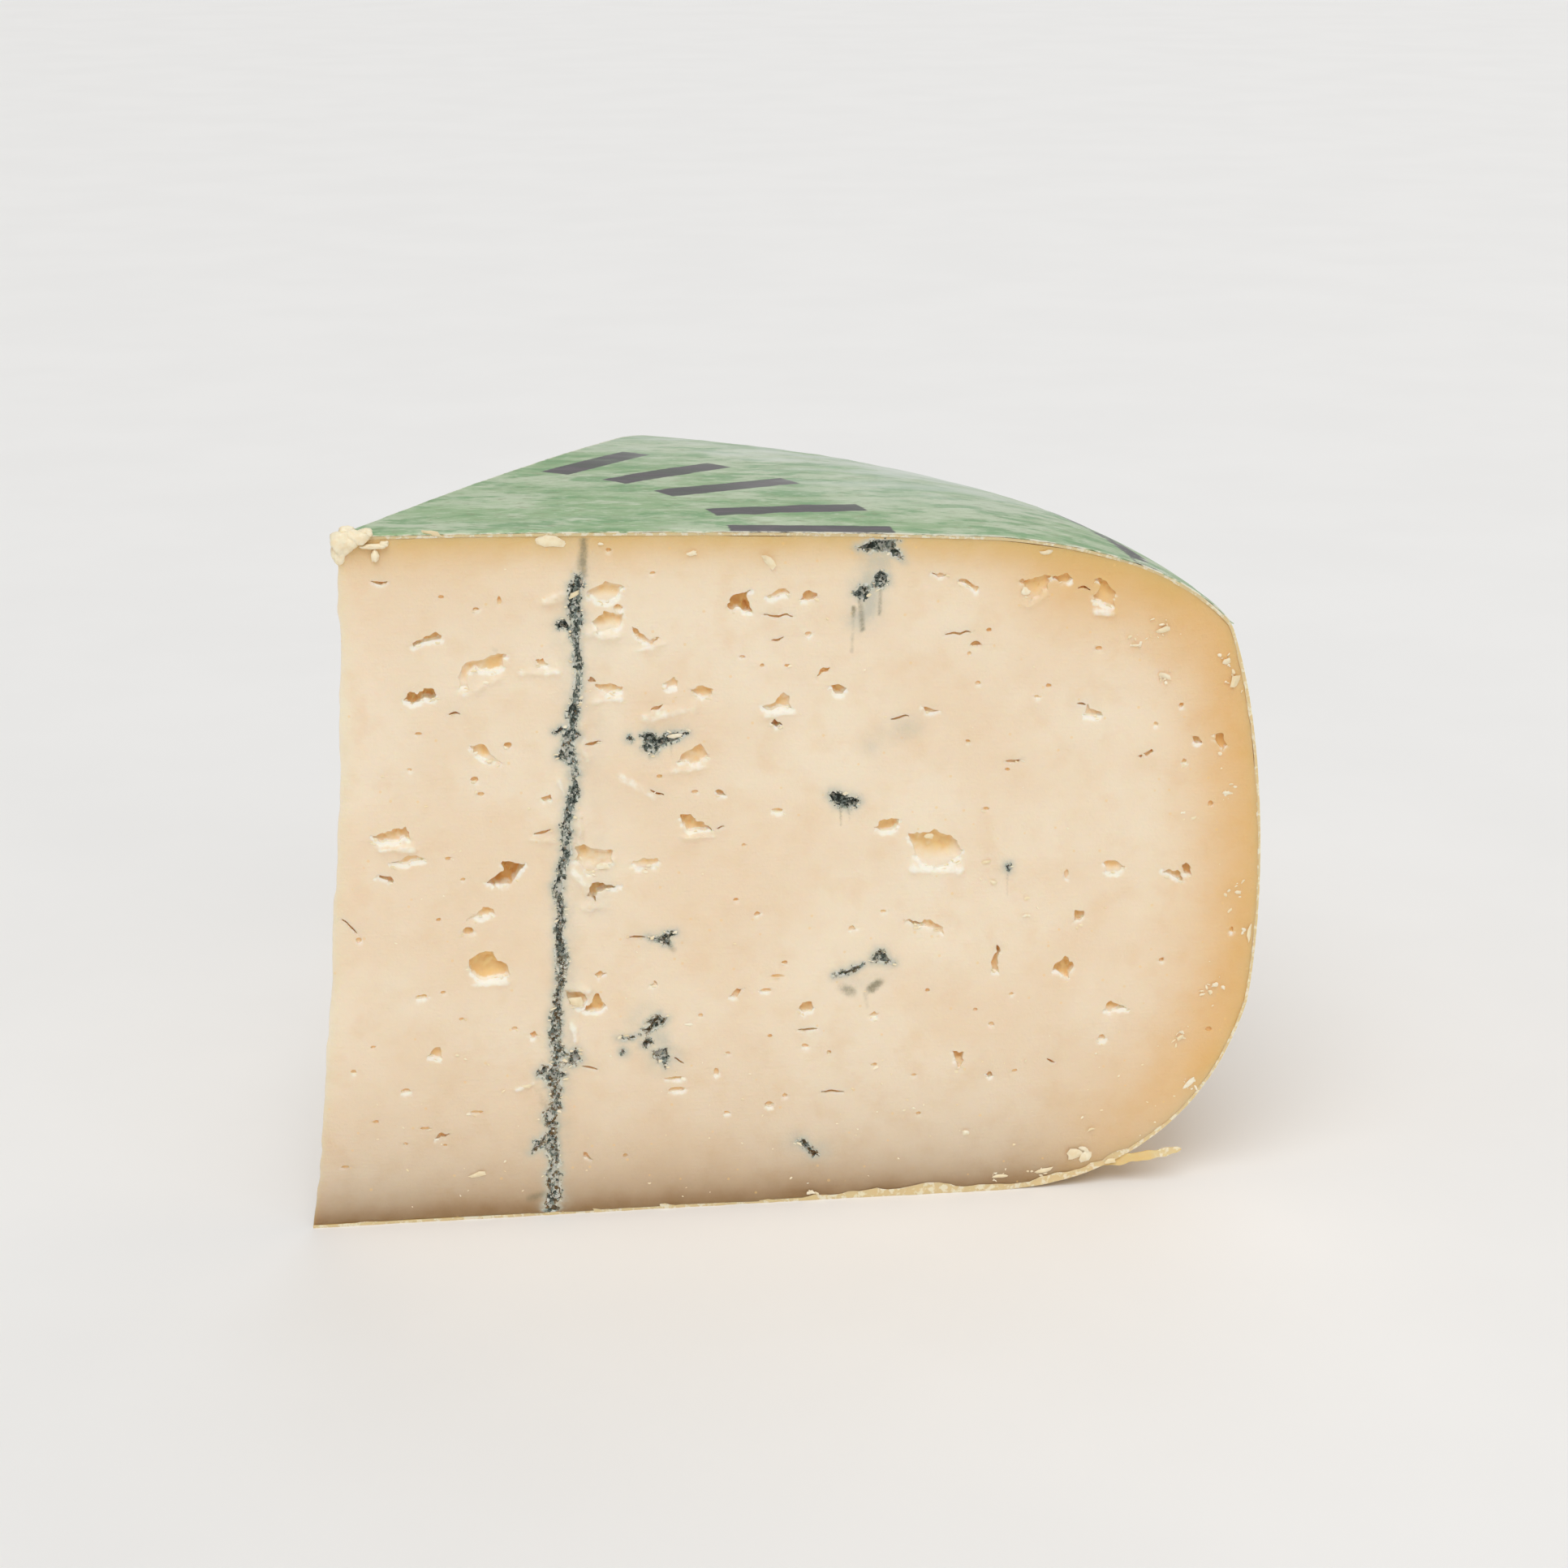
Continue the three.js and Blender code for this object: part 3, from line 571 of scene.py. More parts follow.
def to_outline(points, loop):
    """Distance to a closed outline, the nearest place on it, the outward direction there, and
    whether the point is inside."""
    start, end = loop, np.roll(loop, -1, axis=0)
    run = end - start
    length = np.maximum((run**2).sum(1), 1e-12)
    offset = points[:, None] - start[None]
    share = np.clip((offset * run[None]).sum(2) / length, 0, 1)
    nearest = start[None] + share[:, :, None] * run[None]
    gap = np.linalg.norm(points[:, None] - nearest, axis=2)
    best = gap.argmin(1)
    rows = np.arange(len(points))
    above = start[None, :, 1] > points[:, None, 1]
    crosses = above != (end[None, :, 1] > points[:, None, 1])
    rise = np.where(np.abs(run[:, 1]) < 1e-12, 1e-12, run[:, 1])
    at = start[None, :, 0] + (points[:, None, 1] - start[None, :, 1]) / rise * run[None, :, 0]
    inside = ((crosses & (points[:, None, 0] < at)).sum(1) % 2) == 1
    area = (loop[:, 0] * end[:, 1] - end[:, 0] * loop[:, 1]).sum()
    outwards = np.stack([run[:, 1], -run[:, 0]], 1) * np.sign(area)
    outwards /= np.linalg.norm(outwards, axis=1)[:, None] + 1e-12
    return gap[rows, best], nearest[rows, best], outwards[best], inside


def close_to(points, loop, margin):
    """Numbers of the points inside the outline's own box, widened by a margin."""
    low, high = loop.min(0) - margin, loop.max(0) + margin
    return np.flatnonzero(((points > low) & (points < high)).all(1))


def to_line(points, x0, z0, x1, z1):
    """Distance from points to the straight stretch between two ends."""
    run = np.array([x1 - x0, z1 - z0])
    share = np.clip((points - [x0, z0]) @ run / max(run @ run, 1e-9), 0, 1)
    return np.linalg.norm(points - [x0, z0] - share[:, None] * run, axis=1)


print("a point 1 mm left of the vein:", to_line(np.array([[0.0, 5.0]]), 1, 0, 1, 10).round(2))

# %% [markdown]
# ## A cut face with real holes
#
# One even grid fine enough for the smallest crack would need millions of faces. Instead the
# face gets few points where the paste is plain and many where something is torn. A Delaunay
# triangulation joins them all, and is told to keep the outlines as edges, so a hole has a
# crisp lip. Then points inside an outline sink into the paste.

# %% Points of a cut face
PLAIN_STEP, NEAR_STEP, FINE_STEP = 1.25, 0.6, 0.3
NEAR_REACH, FINE_REACH = 2.0, 0.75
CELL = 0.2
ROW_STEP = 0.866
EDGE_CLEAR = 0.35
RING_INSET = 0.1


def closeness(low, high, dots, reach):
    """A raster of the distance to the nearest dot, found by sliding the dots' own raster over
    every offset within reach."""
    shape = np.ceil((high - low) / CELL).astype(int) + 2
    filled = np.zeros(shape, bool)
    at = ((dots - low) / CELL).astype(int)
    filled[tuple(np.clip(at, 0, shape - 1).T)] = True
    distance = np.full(shape, 99.0)
    limit = int(reach / CELL)
    for i, j in product(range(-limit, limit + 1), repeat=2):
        away = math.hypot(i, j) * CELL
        if away <= reach:
            moved = np.roll(filled, (i, j), (0, 1))
            distance = np.where(moved, np.minimum(distance, away), distance)
    return distance


def scatter(low, high, step, random):
    """A triangular grid of points, each moved a little at random."""
    across = np.arange(low[0], high[0], step)
    up = np.arange(low[1], high[1], step * ROW_STEP)
    x, z = np.meshgrid(across, up, indexing="ij")
    x = x + (np.arange(len(up)) % 2)[None] * step / 2
    dots = np.stack([x.ravel(), z.ravel()], 1)
    return dots + random.uniform(-0.22, 0.22, dots.shape) * step


def kept_inside(loop, edge):
    """The outline with its points no nearer to the face's edge than the clear strip."""
    gap, nearest, outwards, inside = to_outline(loop, edge)
    out = ~inside | (gap < EDGE_CLEAR)
    return np.where(out[:, None], nearest - EDGE_CLEAR * outwards, loop)


def face_points(edge, loops, dots, random):
    """Outlines, a ring just inside each, and scattered points in three densities."""
    low, high = edge.min(0), edge.max(0)
    distance = closeness(low, high, np.concatenate(loops + [dots]), NEAR_REACH)
    chosen = []
    for step, near, far in (
        (PLAIN_STEP, NEAR_REACH, 1e9),
        (NEAR_STEP, FINE_REACH, NEAR_REACH),
        (FINE_STEP, -1, FINE_REACH),
    ):
        trial = scatter(low, high, step, random)
        cell = ((trial - low) / CELL).astype(int)
        cell = np.clip(cell, 0, np.array(distance.shape) - 1)
        away = distance[tuple(cell.T)]
        chosen.append(trial[(away >= near) & (away < far)])
    free = np.concatenate(chosen)
    measured = [to_outline(block, edge) for block in np.array_split(free, BLOCKS)]
    gap, _, _, inside = (np.concatenate(part) for part in zip(*measured))
    free = free[inside & (gap > EDGE_CLEAR)]
    keep = np.ones(len(free), bool)
    rings = []
    for loop in loops:
        near = close_to(free, loop, 0.3)
        gap = to_outline(free[near], loop)[0]
        keep[near[gap < 0.1]] = False
        _, _, outwards, _ = to_outline(loop, loop)
        ring = loop - RING_INSET * outwards
        gap, _, _, inside = to_outline(ring, loop)
        rings.append(ring[inside & (gap > 0.06)])
    sizes = [len(edge)] + [len(loop) for loop in loops]
    return np.concatenate([edge] + loops + rings + [free[keep]]), sizes


def triangulate(points, loop_sizes):
    """Delaunay triangles of the points, with every outline kept as edges, and nothing outside
    the first outline."""
    edges, start = [], loop_sizes[0]
    for size in loop_sizes[1:]:
        own = np.arange(start, start + size)
        edges.append(np.stack([own, np.roll(own, -1)], 1))
        start += size
    made = delaunay_2d_cdt(
        [Vector(p) for p in points.tolist()],
        np.concatenate(edges).tolist(),
        [list(range(loop_sizes[0]))],
        1,
        1e-5,
        True,
    )
    belongs = np.array([len(owners) > 0 for owners in made[5]])
    return np.array([tuple(v) for v in made[0]], float), np.array(made[2])[belongs]


print("points of a face are", PLAIN_STEP, "mm apart, and", FINE_STEP, "mm near a hole")

# %% [markdown]
# ## Sinking the holes
#
# A gas hole is round inside, so its wall drops steeply at the lip and flattens towards the
# middle, like a quarter of a circle. The wall is also pushed outwards below the lip, which
# gives the dark overhang that a cut bubble has. The lower lip is pressed in a little and
# smeared by the knife, and so it catches the light from above. Close to the face's outline
# everything fades to nothing, because the faces meet there point on point.

# %% Sinking and marking
LIP_REACH = 0.55
LIP_PRESS = 0.2
OVERHANG = 0.32
HELD_EDGE = (0.02, 0.3)


class Cut:
    """A cut face: its points on the plane, how deep each is, and what is marked on it."""

    def __init__(self, flat, triangles):
        self.flat, self.triangles = flat, triangles
        self.slide = np.zeros_like(flat)
        self.depth, self.swell = np.zeros(len(flat)), np.zeros(len(flat))
        names = ("deep", "mould", "haze", "stain", "lip")
        self.marks = {name: np.zeros(len(flat)) for name in names}

    def raise_mark(self, name, numbers, values):
        """A mark only grows: the new value counts where it is the higher one."""
        self.marks[name][numbers] = np.maximum(self.marks[name][numbers], values)

    def sink(self, loop, depth, lean=0.0, mouldy=False, seed=0):
        """Depth times a quarter circle of the distance from the lip, less on the lower side."""
        near = close_to(self.flat, loop, 2.6 if mouldy else 1.4)
        place = self.flat[near]
        gap, nearest, outwards, inside = to_outline(place, loop)
        inside = inside | (gap < 1e-3)
        reach = max(gap[inside].max(), 0.12)
        share = np.clip(gap / (0.72 * reach), 0, 1)
        wall = np.where(inside, np.sqrt(1 - (1 - share) ** 2), 0)
        low, high = loop[:, 1].min(), loop[:, 1].max()
        height = (place[:, 1] - low) / max(high - low, 1e-3)
        slope = 1 - lean * (1 - ramp(height, 0.05, 0.8))
        rough = 1 + 0.3 * noise(place, 1.3, seed) + 0.22 * noise(place, 0.45, seed + 1)
        drop = depth * wall * slope * rough
        below = np.clip(-outwards[:, 1], 0, 1)
        lip = below * np.exp(-((gap / LIP_REACH) ** 2)) * min(reach / 0.5, 1)
        lip = np.where(inside, below * np.exp(-((gap / 0.25) ** 2)) * min(reach / 0.5, 1), lip)
        self.depth[near] = np.maximum(self.depth[near], drop + LIP_PRESS * lip)
        steep = wall * np.exp(-gap / 0.3) * min(depth, 2) / 2
        self.slide[near] += np.where(inside, OVERHANG * steep, 0)[:, None] * outwards
        if mouldy:
            core = 0.6 + 0.4 * np.clip(gap / 0.6, 0, 1)
            fade = 0.6 * np.exp(-((gap / 0.5) ** 2))
            self.raise_mark("mould", near, np.where(inside, core, fade))
            halo = 0.55 * np.exp(-((gap / 0.6) ** 2)) + 0.35 * np.exp(-((gap / 1.7) ** 2))
            self.raise_mark("haze", near, np.where(inside, 0.9, halo))
        else:
            # The deep mark paints amber shade into the holes, darker the deeper; the lip mark paints
            # a highlight on the lower lips.
            self.raise_mark("deep", near, np.clip(drop / min(2.2, 2 * depth), 0, 1))
            self.raise_mark("lip", near, 0.9 * lip)

    def smear(self, mark, x0, z0, x1, z1, width, strength, seed=0):
        """A mark that fades with the square of the distance from a stretch, broken by noise."""
        away = to_line(self.flat, x0, z0, x1, z1)
        near = np.flatnonzero(away < 3 * width)
        patchy = 0.75 + 0.35 * noise(self.flat[near], 2.6, seed)
        self.raise_mark(mark, near, strength * np.exp(-((away[near] / width) ** 2)) * patchy)

    def hold(self, edge):
        """Nothing moves on the outline itself, where the faces must meet point on point."""
        blocks = np.array_split(self.flat, BLOCKS)
        gap = np.concatenate([to_outline(block, edge)[0] for block in blocks])
        free = ramp(gap, *HELD_EDGE)
        self.depth *= free
        self.swell *= free
        self.slide *= free[:, None]
        self.marks["haze"] *= free

    def press_up(self, x0, z0, x1, z1, width, rise, seed=0):
        """A smeared ridge: its rise fades with the square of the distance from a stretch."""
        away = to_line(self.flat, x0, z0, x1, z1) + 0.3 * noise(self.flat, 1.1, seed)
        bump = np.exp(-((away / (0.6 * width)) ** 2))
        self.swell = np.maximum(self.swell, rise * bump * (1 + 0.4 * noise(self.flat, 0.7, seed)))
        # The ridge takes a share of the lips' painted highlight as well.
        self.raise_mark("lip", np.arange(len(bump)), 0.4 * bump)


def cut_face(edge, eyes, pits, cracks, spots, veins, stains, hazes, ridges, seed):
    """Triangulates a cut face round all that is on it, and sinks and marks its points."""
    random = np.random.default_rng(seed)
    jobs = [(ragged(o, 0.24, i), 0.8 * d, lean, False) for i, (d, lean, o) in enumerate(eyes)]
    jobs += [(pit_outline(*p, seed=i), 0.8 * min(p[2:]), 0.4, False) for i, p in enumerate(pits)]
    jobs += [(crack_outline(*c, seed=i), 0.7, 0.2, False) for i, c in enumerate(cracks)]
    jobs += [(ragged(o, 0.26, i + 50), d, 0.2, True) for i, (d, o) in enumerate(spots)]
    jobs += [(vein_outline(v, i + 3), 0.65, 0.0, True) for i, v in enumerate(veins)]
    jobs = [(kept_inside(job[0], edge), *job[1:]) for job in jobs]
    stretches = [np.linspace(s[:2], s[2:4], 30) for s in list(stains) + list(ridges)]
    points, sizes = face_points(edge, [job[0] for job in jobs], np.concatenate(stretches), random)
    cut = Cut(*triangulate(points, sizes))
    for number, (loop, depth, lean, mouldy) in enumerate(jobs):
        cut.sink(loop, depth, lean, mouldy, seed=number)
    for number, stain in enumerate(stains):
        cut.smear("stain", *stain, seed=number)
    for number, haze in enumerate(hazes):
        cut.smear("haze", *haze, seed=number + 70)
    for number, ridge in enumerate(ridges):
        cut.press_up(*ridge, seed=number + 90)
    cut.swell *= 1 - np.clip(cut.depth / 0.4, 0, 1)
    cut.hold(edge)
    print(f"cut face: {len(cut.flat)} points, {len(cut.triangles)} triangles")
    return cut


# %% [markdown]
# ## The edges that the faces share
#
# The body is closed from three sheets: the skin, which goes under the film and the label, and
# the two cut faces. They must meet point on point, so both faces take their outline from the
# skin's first and last column and from one row of points up the sharp edge of the wedge.

# %% Skin and outlines of the body
BODY_INSET = 0.4
EDGE_STEP = 0.8
FOOT_ROWS = 110
TURNS = 44

body_skin = skin(BODY_INSET, np.linspace(0, 1, TURNS + 1), EDGE_STEP, FOOT_ROWS)
edge_heights = np.linspace(BODY_INSET, TOP_HEIGHT - BODY_INSET, 122)[1:-1][::-1]
sharp_edge = np.stack([-drift(edge_heights), 0 * edge_heights, edge_heights], 1)
front_edge = np.concatenate([body_skin[:, 0], sharp_edge])[:, [0, 2]]
back_rim = np.concatenate([body_skin[:, -1], sharp_edge])
back_edge = np.stack([back_rim[:, 1] / math.sin(WEDGE_ANGLE), back_rim[:, 2]], 1)
print("front outline", len(front_edge), "points, back outline", len(back_edge), "points")

# %% [markdown]
# ## Holes for the back cut
#
# The back cut is the neighbour wedge's front cut, and nobody wrote down its holes. They are
# drawn at random from the same family: mostly wide and low, a few big ones, many pits. A
# second, thinner vein crosses it, because the same needles went through the whole wheel.

# %% Holes of the back cut
BACK_EYE_COUNT, BACK_PIT_COUNT, BACK_CRACK_COUNT = 52, 70, 14
EYE_SIDES = 8
EYE_GAP, RIM_GAP, VEIN_GAP = 3.4, 4, 5
BACK_VEIN_ALONG = 63

random = np.random.default_rng(11)
back_eyes, back_pits, back_cracks = [], [], []
while len(back_eyes) < BACK_EYE_COUNT:
    x, z = random.uniform((5, 5), (119, 92))
    width = 1.6 + 3.6 * random.random() ** 2.2
    tall = width * random.uniform(0.35, 0.8)
    turn = np.sort(random.uniform(0, 2 * math.pi, EYE_SIDES))
    long = random.uniform(0.65, 1.15, EYE_SIDES)
    tilt = random.uniform(-0.4, 0.4)
    ring = np.stack([width / 2 * long * np.cos(turn), tall / 2 * long * np.sin(turn)], 1)
    ring[:, 1] += tilt * ring[:, 0]
    depth, lean = 0.55 * tall * random.uniform(0.7, 1.5), random.choice([0.1, 0.4, 0.8])
    taken = [np.hypot(x - c[0], z - c[1]) for _, _, o in back_eyes for c in o]
    gap, _, _, inside = to_outline(np.array([[x, z]]), back_edge)
    clear = min(taken, default=9) > EYE_GAP and abs(x - BACK_VEIN_ALONG) > VEIN_GAP
    if inside[0] and gap[0] > RIM_GAP and clear:
        back_eyes.append((depth, lean, [tuple(p) for p in ring + [x, z]]))
for x, z in random.uniform((3, 3), (120, 93), (BACK_PIT_COUNT, 2)):
    back_pits.append((x, z, random.uniform(0.5, 1.1), random.uniform(0.4, 0.7)))
for x, z in random.uniform((6, 6), (112, 88), (BACK_CRACK_COUNT, 2)):
    back_cracks.append((x, z, x + random.uniform(1, 3), z + random.uniform(-0.7, 0.7), 0.3))
gap, _, _, inside = to_outline(np.array([p[:2] for p in back_pits]), back_edge)
back_pits = [p for p, ok in zip(back_pits, inside & (gap > 1)) if ok]
BACK_VEIN = [
    (63.6, 93, 0.7), (63.2, 86, 1.2), (63.4, 78, 0.8), (62.8, 70, 1.3), (62.9, 60, 0.9),
    (62.2, 50, 1.3), (62.3, 40, 1.0), (61.7, 30, 1.4), (61.8, 20, 1.1), (61.2, 10, 1.5),
    (61.2, 0.2, 1.3),
]
BACK_SPOTS = [
    (1.1, [(30, 60), (31.5, 61), (33, 60.6), (32.4, 59.2), (31, 59.4)]),
    (1.2, [(84, 72), (85, 73.4), (86.6, 72.8), (86, 71.4), (85, 70.9)]),
    (1.0, [(76, 22), (77, 23.2), (78.8, 22.6), (77.6, 21.4)]),
    (1.0, [(46, 84.4), (47.6, 85), (48.8, 84.2), (47.4, 83.5)]),
    (0.9, [(100, 48), (101.2, 48.9), (102.4, 48), (101, 47.3)]),
]
BACK_STAINS = [
    (31.6, 60, 31.4, 56.5, 0.4, 0.6), (85.4, 71.6, 85.2, 67, 0.5, 0.8),
    (77.4, 22, 77.2, 19, 0.4, 0.5), (61.6, 24, 61.3, 2, 0.9, 0.4),
]
BACK_HAZES = [
    (63.4, 92, 62.3, 50, 2.4, 0.5), (62.3, 50, 61.2, 2, 2.4, 0.6), (31, 60, 32, 60, 2.6, 0.6),
    (85, 73, 85.4, 71, 2.6, 0.7), (77, 22, 78, 22, 2.2, 0.6), (47, 84, 48, 84, 2, 0.5),
]
BACK_RIDGES = [
    (64.6, 84, 66, 79, 0.8, 0.35), (61.6, 60, 61.2, 55, 0.8, 0.35), (64, 42, 63.8, 37, 0.8, 0.3),
    (60.2, 26, 60, 22, 0.8, 0.3), (30, 58.4, 33, 58, 0.9, 0.3), (84, 70.2, 87, 70, 0.9, 0.3),
]
print(len(back_eyes), "eyes and", len(back_pits), "pits on the back cut")

# %% [markdown]
# ## Materials as sums
#
# A finish is easier to read as a sum than as a picture of boxes and lines. `Wire` wraps one
# socket and adds a Math node for each +, -, * and /, and `Finish.node` adds any other node: its
# type, its settings, and then the values or wires of its inputs.

# %% Shader helper
class Wire:
    """One output of a node. Arithmetic on it adds Math nodes to the same material."""

    def __init__(self, finish, socket):
        self.finish, self.socket = finish, socket

    def math(self, operation, *others):
        """One Math node that takes this wire first and the others after it."""
        return self.finish.node(
            "ShaderNodeMath", {"operation": operation}, dict(enumerate((self, *others)))
        )

    def __add__(self, other):
        return self.math("ADD", other)

    def __sub__(self, other):
        return self.math("SUBTRACT", other)

    def __mul__(self, other):
        return self.math("MULTIPLY", other)

    def __rsub__(self, other):
        return (self * -1.0) + other

    __radd__ = __add__
    __rmul__ = __mul__

    def between(self, low, high):
        """0 below low, 1 above high, and a smooth S between them."""
        return self.finish.node(
            "ShaderNodeMapRange",
            {"interpolation_type": "SMOOTHSTEP"},
            {0: self, 1: low, 2: high, 3: 0.0, 4: 1.0},
        )


class Finish:
    """A material under construction, with its Principled BSDF as `skin`."""

    def __init__(self, name, **constants):
        self.material = bpy.data.materials.new(name)
        self.material.use_nodes = True
        self.tree = self.material.node_tree
        self.skin = self.tree.nodes["Principled BSDF"]
        for socket, value in constants.items():
            self.skin.inputs[socket.replace("_", " ")].default_value = value
        self.place = self.node("ShaderNodeTexCoord", output="Object")

    def node(self, kind, settings=None, values=None, output=0):
        """Adds a node: settings first, then the value or wire of each input."""
        made = self.tree.nodes.new(kind)
        for name, value in (settings or {}).items():
            setattr(made, name, value)
        for key, value in (values or {}).items():
            if isinstance(value, Wire):
                self.tree.links.new(value.socket, made.inputs[key])
            else:
                made.inputs[key].default_value = value
        return Wire(self, made.outputs[output])

    def grain(self, size, detail=3.0, stretch=(1, 1, 1), rough=0.55, shift=0.0):
        """Noise from 0 to 1 with bumps about `size` mm wide, stretched along the axes."""
        scale = [1 / (size * MM * s) for s in stretch]
        placed = self.node(
            "ShaderNodeMapping", None, {0: self.place, 1: (shift, shift, shift), 3: scale}
        )
        values = {"Vector": placed, "Scale": 1.0, "Detail": detail, "Roughness": rough}
        return self.node("ShaderNodeTexNoise", None, values)

    def cells(self, size, output="Distance"):
        """How far it is to the middle of the nearest of many cells `size` mm wide."""
        values = {"Vector": self.place, "Scale": 1 / (size * MM)}
        return self.node("ShaderNodeTexVoronoi", None, values, output)

    def crumbs(self, size):
        """A number from 0 to 1 for each crumb of a bed of crumbs `size` mm wide."""
        return self.cells(size, "Color") * 1.0

    def mark(self, name):
        """A number that the mesh carries at each point."""
        return self.node("ShaderNodeAttribute", {"attribute_name": name}, output="Fac")

    def blend(self, share, first, second):
        """The first colour where share is 0 and the second where it is 1."""
        return self.node(
            "ShaderNodeMix",
            {"data_type": "RGBA", "clamp_factor": True},
            {0: share, 6: paint(first), 7: paint(second)},
            output=2,
        )

    def wear(self, colour, roughness=None, height=None, bump=0.3, distance=0.1):
        """Connects what varies: the colour, the roughness, and a height in mm as a bump."""
        self.tree.links.new(colour.socket, self.skin.inputs["Base Color"])
        if roughness is not None:
            self.tree.links.new(roughness.socket, self.skin.inputs["Roughness"])
        if height is not None:
            values = {"Strength": bump, "Distance": distance * MM, "Height": height}
            made = self.node("ShaderNodeBump", None, values, output="Normal")
            self.tree.links.new(made.socket, self.skin.inputs["Normal"])
        return self.material


def paint(colour):
    """An sRGB colour of 0 to 255, as it is named on a swatch, in the linear light of a node."""
    if isinstance(colour, Wire):
        return colour
    share = np.array(colour, float) / 255
    linear = np.where(share <= 0.04045, share / 12.92, ((share + 0.055) / 1.055) ** 2.4)
    return (*linear.tolist(), 1.0)


print("mid grey in linear light:", round(paint((128, 128, 128))[0], 3))

# %% [markdown]
# ## The paste
#
# Cheese is not a painted surface: light goes a few millimetres in and comes back warmer, and
# the shader gets that from its subsurface part. On top come the marks that the mesh carries:
# yellow towards the rind, tan towards the foot that is partly rind and partly painted shade,
# amber in the holes that is partly drier paste and partly painted shade, white on the lower
# lips and ridges that is a painted highlight over some smeared paste, grey haze and dark mould,
# each broken up by grain so that no edge is smooth. The bump holds the knife's faint level
# streaks and the pores.

# %% Paste material
CREAM = (242, 220, 190)
CREAM_PALE = (246, 229, 203)
CREAM_WARM = (238, 211, 176)
RIND_YELLOW = (230, 181, 108)
TOP_YELLOW = (226, 186, 118)
FOOT_TAN_AND_SHADE = (152, 120, 82)
LIP_SMEAR_AND_HIGHLIGHT = (255, 249, 235)
AMBER = (244, 204, 132)
AMBER_DRY_AND_SHADE = (236, 178, 98)
MOULD_DARK = (64, 71, 64)
MOULD_SLATE = (112, 120, 110)
MOULD_BLUE = (152, 160, 150)
MOULD_PALE = (214, 212, 198)
MOULD_BROWN = (124, 94, 54)
HAZE_GREY = (198, 196, 180)
STAIN_OLIVE = (126, 120, 92)
PRICK_SIZE = 2.6


